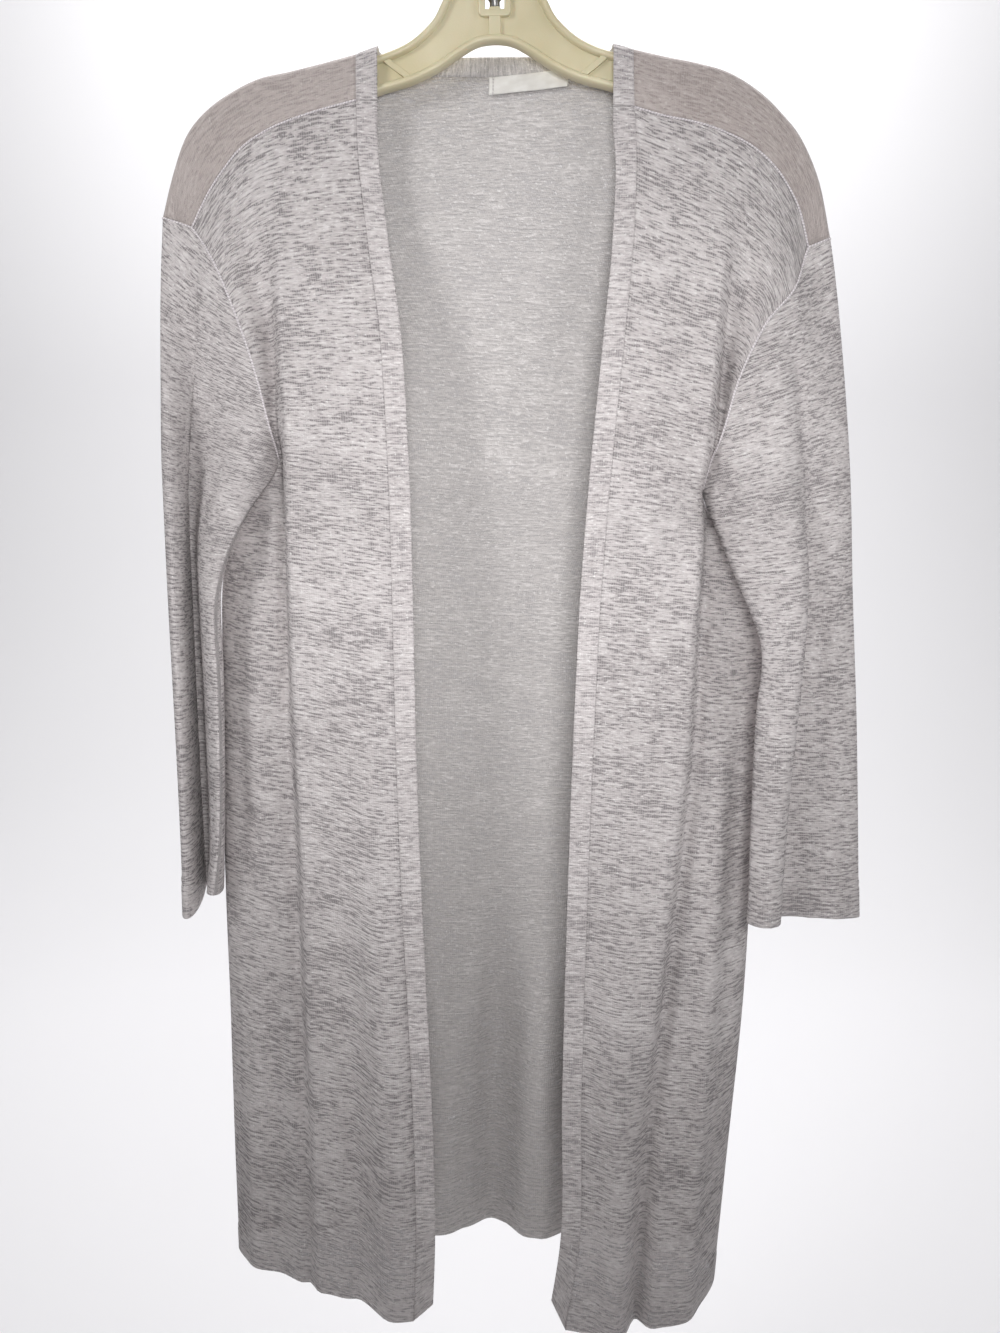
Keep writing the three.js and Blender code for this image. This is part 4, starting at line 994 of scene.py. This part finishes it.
def gathered(t):
    """Points gather at the two sides of a sleeve and at its middle."""
    return t - GATHER * np.sin(4 * math.pi * t) / (4 * math.pi)


def armhole_loop(side):
    """The armhole's seam, up the front and down the back, and each point's place round it."""
    rows = ROWS[: ROWS_ABOVE + 1, 0]
    t = FLAP_STEPS[:, 0]
    rise = np.concatenate([front_point(side, 1, rows)[::-1], flap_point(side, 1, t)[1:]])
    fall = np.concatenate([back_flap_point(side, 1, 1 - t), back_point(side, 1, rows)[1:]])
    shares = []
    for line in (rise, fall):
        total = travelled(line)
        shares.append(gathered(total / total[-1]))
    return np.concatenate([rise, fall[1:]]), np.concatenate([shares[0], 1 + shares[1][1:]])


SLEEVE_RINGS, CUFF_RINGS = 130, 26
CUFF_PART = 25 / SLEEVE_LENGTH["left"]
RINGS = np.concatenate(
    [np.linspace(0, 1 - CUFF_PART, SLEEVE_RINGS + 1)[:-1], np.linspace(1 - CUFF_PART, 1, CUFF_RINGS + 1)]
)


def sleeve_weave(side, points):
    """The knit's own coordinates over a sleeve, whose courses turn near the armhole."""
    around = lengths_along(points, 1) + SIGN[side] * 900
    down, out = -points[..., 2], np.abs(points[..., 0]) - SLEEVE_COURSE_TURN["about"]
    level = ease(SLEEVE_COURSE_TURN["from"], SLEEVE_COURSE_TURN["to"], down)
    angle = math.radians(SLEEVE_COURSE_TURN[side]) * (1 - level)
    along = down * np.cos(angle) + out * np.sin(angle)
    return np.stack([around * MM, along * MM, 0 * around], axis=-1)


def make_sleeves():
    pieces = {}
    for side in SIDES:
        loop, around = armhole_loop(side)
        rings = []
        for share in RINGS:
            tube = tube_points(side, share, around) + sleeve_creases(side, share, around)
            rings.append(mix(loop, tube, crowd(min(1, share / SLEEVE_BLEND))))
        points = np.array(rings)
        to_edge = ((1 - RINGS) * SLEEVE_LENGTH[side])[:, None]
        wall = hem_wall(to_edge, CUFF_TURN)
        cloth = Cloth()
        weave = sleeve_weave(side, points)
        cloth.add(points, weave, side == "left", hem_lift(to_edge, CUFF_TURN), wall)
        pieces[side] = cloth.build("knit_sleeve_" + side, knit)
        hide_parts("sleeve_" + side)
    return pieces


def tube(name, points, radius, material, sides=8, closed=False):
    """A round cord along a line of points."""
    points = np.asarray(points, float)
    if closed:
        ahead, behind = np.roll(points, -1, axis=0), np.roll(points, 1, axis=0)
    else:
        ahead = np.concatenate([points[1:], points[-1:]])
        behind = np.concatenate([points[:1], points[:-1]])
    along = ahead - behind
    along /= np.maximum(np.linalg.norm(along, axis=1), 1e-9)[:, None]
    first = np.cross(along[0], (0.3, 0.9, 0.31))
    first /= np.linalg.norm(first)
    ups = []
    for direction in along:
        first = first - direction * first.dot(direction)
        first = first / np.linalg.norm(first)
        ups.append(first)
    ups = np.array(ups)
    outs = np.cross(along, ups)
    angles = np.arange(sides) * 2 * math.pi / sides
    ring = ups[:, None] * np.cos(angles)[None, :, None] + outs[:, None] * np.sin(angles)[None, :, None]
    places = points[:, None] + ring * np.reshape(radius, (-1, 1, 1))
    count = len(points)
    faces = []
    for i in range(count if closed else count - 1):
        for k in range(sides):
            j, m = (i + 1) % count, (k + 1) % sides
            faces.append([i * sides + k, j * sides + k, j * sides + m, i * sides + m])
    if not closed:
        faces.append(list(range(sides)))
        faces.append([(count - 1) * sides + k for k in reversed(range(sides))])
    weaves = np.zeros((count, sides, 3))
    weaves[..., 1] = travelled(points)[:, None] * MM
    weaves[..., 0] = (angles * 1.2 * MM)[None, :]
    return mesh_piece(name, places.reshape(-1, 3), faces, material, weaves.reshape(-1, 3))


def make_label():
    """The blank woven label, sewn along its upper edge and its left end to the inside of the back neck."""
    across, down = np.linspace(0, 1, 45), np.linspace(0, 1, 13)
    x = mix(LABEL["from"], LABEL["to"], across)[None, :]
    lean = mix(LABEL["topFrom"], LABEL["topTo"], across)[None, :]
    dip = 1 - np.abs(x / NECK_HALF["right"]) ** NECK_CURVE
    curl = 0.5 * ease(0.3, 1, down)[:, None] * (0.4 + np.sin(across * 5.0) ** 2)[None, :]
    y = mix(TOP_DEPTH, BACK_NECK_DEPTH, dip) - LABEL["before"] - curl
    points = place3(x, y, -(lean + LABEL["height"] * down[:, None]))
    cloth = Cloth()
    cloth.add(points, weave_of(points), False, 0.0, 0.5)
    piece = cloth.build("woven_label", label_cloth)
    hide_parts("label")
    stitches = []
    half = (0, 0, LABEL_STITCH["half"])
    for k in range(LABEL_STITCH["count"]):
        t = (k + 0.5) / LABEL_STITCH["count"]
        middle = points[0, 2] * (1 - t) + points[-1, 2] * t + np.array([0.4, -0.25, 0])
        ends = [middle - half, middle + half]
        stitches.append(tube(f"label_stitch_{k}", ends, LABEL_STITCH["radius"], thread, 6))
    return piece, stitches


def tilted(points):
    """Turned about the middle of the hook's bend, the right arm up."""
    angle = math.radians(HANGER_TILT)
    points = np.asarray(points, float)
    x, z = points[..., 0], points[..., 2] + HOOK_RADIUS
    turned = np.stack([x * math.cos(angle) - z * math.sin(angle), points[..., 1]], axis=-1)
    up = x * math.sin(angle) + z * math.cos(angle) - HOOK_RADIUS
    return np.concatenate([turned, up[..., None]], axis=-1)


def smooth_closed(points, per_span):
    """A closed line through the points, rounded between them."""
    points = np.asarray(points, float)
    before, after, beyond = np.roll(points, 1, 0), np.roll(points, -1, 0), np.roll(points, -2, 0)
    t = (np.arange(per_span) / per_span)[None, :, None]
    a, b, c, d = (p[:, None, :] for p in (before, points, after, beyond))
    return through(a, b, c, d, t).reshape(-1, points.shape[1])


def hanger_line(per_span):
    right = [(out, -down) for out, down in HANGER_RIM]
    left = [(-out, z) for out, z in right[-2:0:-1]]
    return smooth_closed(right + left, per_span)


def plate(name, outlines, half_depth, bevel, material):
    """A flat plate in the hanger's plane, from its outline and any holes, with rounded edges."""
    curve = bpy.data.curves.new(name, "CURVE")
    curve.dimensions = "2D"
    curve.fill_mode = "BOTH"
    curve.extrude = (half_depth - bevel) * MM
    curve.bevel_depth = bevel * MM
    curve.bevel_resolution = 2
    for outline in outlines:
        spline = curve.splines.new("POLY")
        spline.points.add(len(outline) - 1)
        for point, (x, z) in zip(spline.points, outline):
            point.co = (x * MM, z * MM, 0, 1)
        spline.use_cyclic_u = True
    rough = bpy.data.objects.new(name, curve)
    mesh = bpy.data.meshes.new_from_object(rough)
    bpy.data.objects.remove(rough)
    turn = Matrix.Translation((0, 0, -HOOK_RADIUS * MM)) @ Matrix.Rotation(-math.radians(HANGER_TILT), 4, "Y")
    turn = turn @ Matrix.Translation((0, 0, HOOK_RADIUS * MM)) @ Matrix.Rotation(math.pi / 2, 4, "X")
    mesh.transform(turn)
    mesh.materials.clear()
    mesh.materials.append(material)
    piece = add_object(name, mesh)
    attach(piece, "root")
    return piece


def rounded_box(x0, x1, top, bottom, radius):
    """The outline of a box with rounded corners, in the hanger's plane."""
    corners = []
    for cx, cz, start in (
        (x1 - radius, -top - radius, 0),
        (x0 + radius, -top - radius, 90),
        (x0 + radius, -bottom + radius, 180),
        (x1 - radius, -bottom + radius, 270),
    ):
        for step in range(5):
            angle = math.radians(start + step * 22.5)
            corners.append((cx + radius * math.cos(angle), cz + radius * math.sin(angle)))
    return corners


def make_hanger():
    line = hanger_line(6)
    ahead, behind = np.roll(line, -1, 0), np.roll(line, 1, 0)
    along = ahead - behind
    along /= np.linalg.norm(along, axis=1)[:, None]
    angles = np.arange(RIM_SIDES) * 2 * math.pi / RIM_SIDES
    # The rim's section is a flattened oval, with nearly flat sides where the two halves of the mould met.
    across = RIM_HALF_WIDTH * np.sign(np.cos(angles)) * np.abs(np.cos(angles)) ** RIM_SQUARE
    deep = RIM_HALF_DEPTH * np.sign(np.sin(angles)) * np.abs(np.sin(angles)) ** RIM_SQUARE
    x = line[:, :1] - along[:, 1:] * across
    z = line[:, 1:] + along[:, :1] * across
    points = tilted(place3(x, deep[None, :], z))
    count, sides = points.shape[:2]
    faces = []
    for i in range(count):
        for k in range(sides):
            j, m = (i + 1) % count, (k + 1) % sides
            faces.append([i * sides + k, i * sides + m, j * sides + m, j * sides + k])
    rim = mesh_piece("hanger_rim", points.reshape(-1, 3), faces, plastic)
    window = rounded_box(-WINDOW["half"], WINDOW["half"], WINDOW["top"], WINDOW["bottom"], 1.5)
    web = plate("hanger_web", [line.tolist(), window], WEB / 2, 0.3, plastic)
    wide = WINDOW["half"] + SURROUND["wide"]
    low = WINDOW["bottom"] + SURROUND["wide"]
    frame_out = rounded_box(-wide, wide, SURROUND["top"], low, SURROUND["corner"])
    outlines = [frame_out, window]
    surround = plate("hanger_surround", outlines, SURROUND["halfDepth"], SURROUND["bevel"], plastic)
    rib = CENTRE_RIB
    middle = rounded_box(-rib["half"], rib["half"], rib["top"] - 1, rib["bottom"], 1)
    parts = [web, surround, plate("hanger_rib_middle", [middle], rib["depth"] / 2, RIB_BEVEL, plastic)]
    for k, (inner_out, outer_out, inner_down, outer_down) in enumerate(SLANT_RIBS):
        for side in SIDES:
            a = np.array([SIGN[side] * inner_out, -inner_down])
            b = np.array([SIGN[side] * outer_out, -outer_down])
            normal = np.array([-(b - a)[1], (b - a)[0]]) / np.linalg.norm(b - a) * SLANT_RIB["wide"] / 2
            outline = [a - normal, b - normal, b + normal, a + normal]
            if side == "left":
                outline.reverse()
            outline = [tuple(p) for p in outline]
            half_depth = SLANT_RIB["depth"] / 2
            parts.append(plate(f"hanger_rib_{side}_{k}", [outline], half_depth, RIB_BEVEL, plastic))
    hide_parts("hanger")


def make_hook():
    """The wire, from the collar in the window up through the boss, out to one side and over the rail."""
    radius = HOOK_RADIUS + WIRE
    bend = []
    for k in range(HOOK_STEPS):
        angle = math.radians(HOOK_STEP * k)
        bend.append((radius * math.cos(angle), -HOOK_RADIUS + radius * math.sin(angle)))
    knots = np.array(list(HOOK_STEM) + bend)
    first, last = 2 * knots[0] - knots[1], 2 * knots[-1] - knots[-2]
    knots = np.concatenate([[first], knots, [last]])
    line = []
    for i in range(1, len(knots) - 2):
        a, b, c, d = knots[i - 1 : i + 3]
        for t in np.linspace(0, 1, 9)[:-1]:
            line.append(through(a, b, c, d, t))
    line.append(knots[-2])
    line = np.array(line)
    points = tilted(place3(line[:, 0], 0, line[:, 1]))
    # The wire's end is rounded off.
    radii = np.full(len(points), WIRE)
    radii[-1], radii[-2] = WIRE * 0.45, WIRE * 0.85
    wire = tube("hook_wire", points, radii, steel, 20)
    sides = COLLAR_SIDES
    turns = np.linspace(0, 2 * math.pi, sides, endpoint=False)
    places = [tilted((r * math.cos(a), r * math.sin(a), -down)) for r, down in COLLAR for a in turns]
    faces = []
    for i in range(len(COLLAR) - 1):
        for k in range(sides):
            m = (k + 1) % sides
            faces.append([i * sides + k, (i + 1) * sides + k, (i + 1) * sides + m, i * sides + m])
    collar = mesh_piece("hook_collar", places, faces, steel)
    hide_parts("hook")


class Nodes:
    """Short calls for building one material's shader."""

    def __init__(self, name):
        self.material = bpy.data.materials.new(name)
        self.material.use_nodes = True
        self.tree = self.material.node_tree
        self.shader = self.tree.nodes["Principled BSDF"]

    def add(self, kind, **settings):
        node = self.tree.nodes.new(kind)
        for key, value in settings.items():
            setattr(node, key, value)
        return node

    def link(self, source, target):
        self.tree.links.new(source, target)

    def weave(self):
        """The cloth's own coordinates, whole and as their three values."""
        vector = self.add("ShaderNodeAttribute", attribute_name="weave").outputs["Vector"]
        parts = self.add("ShaderNodeSeparateXYZ")
        self.link(vector, parts.inputs[0])
        return vector, *parts.outputs

    def math(self, operation, a, b=0.0, c=0.0):
        node = self.add("ShaderNodeMath", operation=operation)
        for socket, value in zip(node.inputs, (a, b, c)):
            if isinstance(value, (int, float)):
                socket.default_value = value
            else:
                self.link(value, socket)
        return node.outputs[0]

    def scaled(self, vector, scale, shift=(0, 0, 0)):
        node = self.add("ShaderNodeMapping")
        node.inputs["Scale"].default_value = scale
        node.inputs["Location"].default_value = shift
        self.link(vector, node.inputs["Vector"])
        return node.outputs[0]

    def noise(self, vector, scale, shift=(0, 0, 0), detail=2.0, roughness=0.5):
        node = self.add("ShaderNodeTexNoise")
        self.link(self.scaled(vector, scale, shift), node.inputs["Vector"])
        node.inputs["Scale"].default_value = 1.0
        node.inputs["Detail"].default_value = detail
        node.inputs["Roughness"].default_value = roughness
        return node.outputs["Fac"]

    def ramp(self, value, low, high):
        """0 below low and 1 above high."""
        node = self.add("ShaderNodeMapRange", interpolation_type="SMOOTHSTEP")
        self.link(value, node.inputs["Value"])
        node.inputs["From Min"].default_value = low
        node.inputs["From Max"].default_value = high
        return node.outputs["Result"]

    def blend(self, factor, a, b):
        """From a to b, each a colour as seen on a screen or another node's."""
        node = self.add("ShaderNodeMix", data_type="RGBA")
        self.link(factor, node.inputs[0])
        for socket, value in zip((node.inputs[6], node.inputs[7]), (a, b)):
            if isinstance(value, tuple):
                socket.default_value = (*linear(value), 1)
            else:
                self.link(value, socket)
        return node.outputs[2]

    def bump(self, height, distance, strength=1.0):
        node = self.add("ShaderNodeBump")
        node.inputs["Distance"].default_value = distance
        node.inputs["Strength"].default_value = strength
        self.link(height, node.inputs["Height"])
        self.link(node.outputs["Normal"], self.shader.inputs["Normal"])


def linear(colour):
    """A colour given as seen on a screen, 0 to 255, in the shader's own linear values."""
    values = []
    for c in colour:
        c = c / 255
        values.append(c / 12.92 if c <= 0.04045 else ((c + 0.055) / 1.055) ** 2.4)
    return tuple(values)


def knit_material(name, cover, thin, openness):
    """Slub knit: fine wales, short thick places in the yarn, and thin ones that show what is behind. Their
    colour is also painted dark: painted shade of the garment's inside seen through them.
    """
    n = Nodes(name)
    weave, u, v, place = n.weave()
    yoke = n.ramp(place, 0.0, 1.0)
    inside = n.ramp(place, 0.0, -1.0)
    plain = n.math("MULTIPLY_ADD", inside, -0.42, n.math("MULTIPLY_ADD", yoke, -0.5, 1.0))
    wander = n.noise(weave, (30, 30, 0), (3, 1, 0), 1.0)
    wale = n.math("SINE", n.math("MULTIPLY_ADD", u, 2 * math.pi / WALE, n.math("MULTIPLY", wander, 5.0)))
    course = n.math("SINE", n.math("MULTIPLY", v, 2 * math.pi / COURSE))
    streak = n.noise(weave, (68, 560, 0), (0, 0, 0), 2.0, 0.5)
    short = n.noise(weave, (190, 820, 0), (7, 2, 0), 1.0, 0.5)
    patches = n.noise(weave, (20, 40, 0), (1, 9, 0), 2.0, 0.5)
    thinness = n.math("ADD", n.math("MULTIPLY", streak, 0.58), n.math("MULTIPLY", short, 0.42))
    thinness = n.math("ADD", thinness, n.math("MULTIPLY_ADD", patches, 0.24, -0.12))
    gaps_and_shade = n.math("MULTIPLY", n.ramp(thinness, 0.49, 0.61), plain)
    gaps_and_shade = n.math("MULTIPLY", gaps_and_shade, n.math("MULTIPLY_ADD", wale, 0.22 * openness, 0.78 * openness))
    slubs = n.ramp(thinness, 0.5, 0.38)
    flecks = n.ramp(n.noise(weave, (430, 700, 0), (4, 4, 0), 0.0), 0.66, 0.78)
    tone = n.noise(weave, (6, 9, 0), (2, 5, 0), 3.0)
    base = n.blend(n.ramp(tone, 0.3, 0.7), KNIT_DARK, KNIT_LIGHT)
    base = n.blend(n.math("MULTIPLY", inside, 0.8), base, KNIT_INSIDE)
    base = n.blend(n.math("MULTIPLY", slubs, 0.62), base, SLUB)
    # The thin places are painted dark with painted shade, standing in for the garment's shaded inside seen
    # through them; their alpha also lets what is behind show.
    base = n.blend(n.math("MULTIPLY", gaps_and_shade, 0.7), base, THIN_PLACE_SHADE)
    base = n.blend(n.math("MULTIPLY", flecks, 0.7), base, FLECK)
    base = n.blend(n.math("MULTIPLY", yoke, 0.4), base, YOKE_TINT)
    n.link(base, n.shader.inputs["Base Color"])
    alpha = n.math("SUBTRACT", cover, n.math("MULTIPLY", gaps_and_shade, cover - thin))
    n.link(n.math("MULTIPLY_ADD", yoke, -0.16, alpha), n.shader.inputs["Alpha"])
    height = n.math("ADD", n.math("MULTIPLY", wale, 0.14), n.math("MULTIPLY", course, 0.08))
    height = n.math("ADD", height, n.math("MULTIPLY", slubs, 0.8))
    height = n.math("SUBTRACT", height, n.math("MULTIPLY", gaps_and_shade, 0.7))
    n.bump(height, 0.0008, 0.7)
    n.shader.inputs["Roughness"].default_value = 0.92
    n.shader.inputs["Specular IOR Level"].default_value = 0.25
    n.shader.inputs["Sheen Weight"].default_value = 0.1
    n.shader.inputs["Sheen Roughness"].default_value = 0.5
    return n.material


def plastic_material():
    n = Nodes("hanger_plastic")
    place = n.add("ShaderNodeTexCoord").outputs["Object"]
    cloud = n.noise(place, (18, 18, 18), (0, 0, 0), 3.0)
    grain = n.noise(place, (900, 900, 900), (0, 0, 0), 2.0)
    smudge = n.noise(place, (60, 60, 60), (3, 0, 0), 3.0, 0.6)
    base = n.blend(n.ramp(cloud, 0.3, 0.7), PLASTIC_DARK, PLASTIC_LIGHT)
    n.link(base, n.shader.inputs["Base Color"])
    n.link(n.math("MULTIPLY_ADD", smudge, 0.25, 0.24), n.shader.inputs["Roughness"])
    n.bump(grain, 0.0002, 0.35)
    n.shader.inputs["Subsurface Weight"].default_value = 0.08
    n.shader.inputs["Subsurface Scale"].default_value = 0.004
    n.shader.inputs["Specular IOR Level"].default_value = 0.5
    return n.material


def steel_material():
    n = Nodes("hook_steel")
    place = n.add("ShaderNodeTexCoord").outputs["Object"]
    drawn = n.noise(place, (900, 900, 120), (0, 0, 0), 2.0)
    spots = n.noise(place, (160, 160, 160), (5, 0, 0), 3.0)
    base = n.blend(n.ramp(spots, 0.35, 0.75), STEEL_LIGHT, STEEL_DARK)
    n.link(base, n.shader.inputs["Base Color"])
    n.link(n.math("MULTIPLY_ADD", drawn, 0.25, 0.2), n.shader.inputs["Roughness"])
    n.bump(drawn, 0.0001, 0.4)
    n.shader.inputs["Metallic"].default_value = 1.0
    return n.material


def label_material():
    n = Nodes("label_weave")
    weave, across, along, _ = n.weave()
    rows = n.math("SINE", n.math("MULTIPLY", along, 2 * math.pi / LABEL_ROW))
    threads = n.math("SINE", n.math("MULTIPLY", across, 2 * math.pi / LABEL_THREAD))
    cloud = n.noise(weave, (90, 160, 0), (0, 0, 0), 2.0)
    base = n.blend(n.ramp(cloud, 0.3, 0.7), LABEL_DARK, LABEL_LIGHT)
    n.link(base, n.shader.inputs["Base Color"])
    n.bump(n.math("ADD", rows, n.math("MULTIPLY", threads, 0.5)), 0.00012, 0.6)
    n.shader.inputs["Roughness"].default_value = 0.6
    n.shader.inputs["Sheen Weight"].default_value = 0.2
    return n.material


def thread_material():
    n = Nodes("seam_thread")
    _, around, along, _ = n.weave()
    lean = n.math("MULTIPLY", around, THREAD_LEAN)
    lay = n.math("SINE", n.math("MULTIPLY_ADD", along, 2 * math.pi / THREAD_TWIST, lean))
    # The twist is painted lighter on its ridges and darker in its grooves: painted light and shade that
    # follow the bump's height.
    n.link(n.blend(n.ramp(lay, -1.0, 1.0), THREAD_SHADED_GROOVE, THREAD_LIT_RIDGE), n.shader.inputs["Base Color"])
    n.bump(lay, 0.0003, 0.7)
    n.shader.inputs["Roughness"].default_value = 0.85
    return n.material


def floor_material():
    n = Nodes("floor_pale")
    place = n.add("ShaderNodeTexCoord").outputs["Object"]
    cloud = n.noise(place, (0.8, 0.8, 0.8), (0, 0, 0), 2.0)
    n.link(n.blend(cloud, FLOOR_DARK, FLOOR_LIGHT), n.shader.inputs["Base Color"])
    n.shader.inputs["Roughness"].default_value = 0.9
    return n.material


knit = knit_material("slub_knit", 0.92, 0.5, 1.0)
band_knit = knit_material("slub_knit_doubled", 0.98, 0.8, 0.9)
label_cloth = label_material()
thread = thread_material()
plastic = plastic_material()
steel = steel_material()

fronts = make_fronts()
back = make_back()
bands = make_bands()
sleeves = make_sleeves()
label, label_stitches = make_label()
make_hanger()
make_hook()


def make_seams():
    """The narrow ridges where the pieces are sewn together."""
    made = {side: [] for side in SIDES}
    for side in SIDES:
        loop, _ = armhole_loop(side)
        made[side].append(tube("seam_armhole_" + side, loop[:-1], SEAM_RIDGE, thread, closed=True))
        shoulder = flap_point(side, COLUMNS[0], 0.0)
        made[side].append(tube("seam_shoulder_" + side, shoulder, SEAM_RIDGE, thread))
        edge = front_point(side, 1, ROWS[ROWS_ABOVE:, 0])
        made[side].append(tube("seam_side_" + side, edge, SEAM_RIDGE * 0.8, thread))
    return made


seams = make_seams()


def make_floor():
    """A pale floor that curves up into a wall behind the garment."""
    turn = [(math.sin(a), math.cos(a)) for a in np.linspace(0, math.pi / 2, 25)]
    bend = FLOOR["bend"]
    profile = [(-FLOOR["reach"], FLOOR["down"])]
    profile += [(FLOOR["wall"] - bend + bend * s, FLOOR["down"] + bend - bend * c) for s, c in turn]
    profile.append((FLOOR["wall"], FLOOR["top"]))
    points = [(x, y, z) for y, z in profile for x in (-FLOOR["reach"], FLOOR["reach"])]
    faces = [(2 * k, 2 * k + 1, 2 * k + 3, 2 * k + 2) for k in range(len(profile) - 1)]
    mesh = bpy.data.meshes.new("floor")
    mesh.from_pydata(points, [], faces)
    mesh.polygons.foreach_set("use_smooth", [True] * len(faces))
    mesh.materials.append(floor_material())
    add_object("floor", mesh)


def area_light(name, place, target, size, watts, spread):
    light = bpy.data.lights.new(name, "AREA")
    light.shape = "DISK"
    light.size = size
    light.energy = watts
    light.spread = math.radians(spread)
    lamp = add_object(name, light)
    lamp.location = place
    lamp.rotation_euler = (Vector(target) - Vector(place)).to_track_quat("-Z", "Y").to_euler()


def make_studio():
    make_floor()
    for name, values in LIGHTS.items():
        area_light(name, *values)
    world = bpy.data.worlds.new("studio")
    world.use_nodes = True
    background = world.node_tree.nodes["Background"]
    background.inputs["Color"].default_value = WORLD_COLOUR
    background.inputs["Strength"].default_value = WORLD_STRENGTH
    bpy.context.scene.world = world
    bpy.context.scene.view_settings.view_transform = "Standard"


def make_camera():
    camera = bpy.data.cameras.new("photo")
    camera.sensor_fit = "AUTO"
    camera.sensor_width = 36
    camera.lens = 36 * FOCAL_PIXELS / PICTURE[1]
    camera.clip_start = 0.05
    camera.clip_end = 60
    eye = add_object("photo", camera)
    right = Vector((1, 0, 0))
    up = Vector((0, math.sin(CAMERA_DOWN), math.cos(CAMERA_DOWN)))
    behind = Vector((0, -math.cos(CAMERA_DOWN), math.sin(CAMERA_DOWN)))
    across = right * math.cos(CAMERA_ROLL) + up * math.sin(CAMERA_ROLL)
    upright = up * math.cos(CAMERA_ROLL) - right * math.sin(CAMERA_ROLL)
    turn = Matrix((across, upright, behind)).transposed().to_4x4()
    eye.matrix_world = Matrix.Translation(CAMERA_PLACE) @ turn
    bpy.context.scene.camera = eye


make_studio()
make_camera()
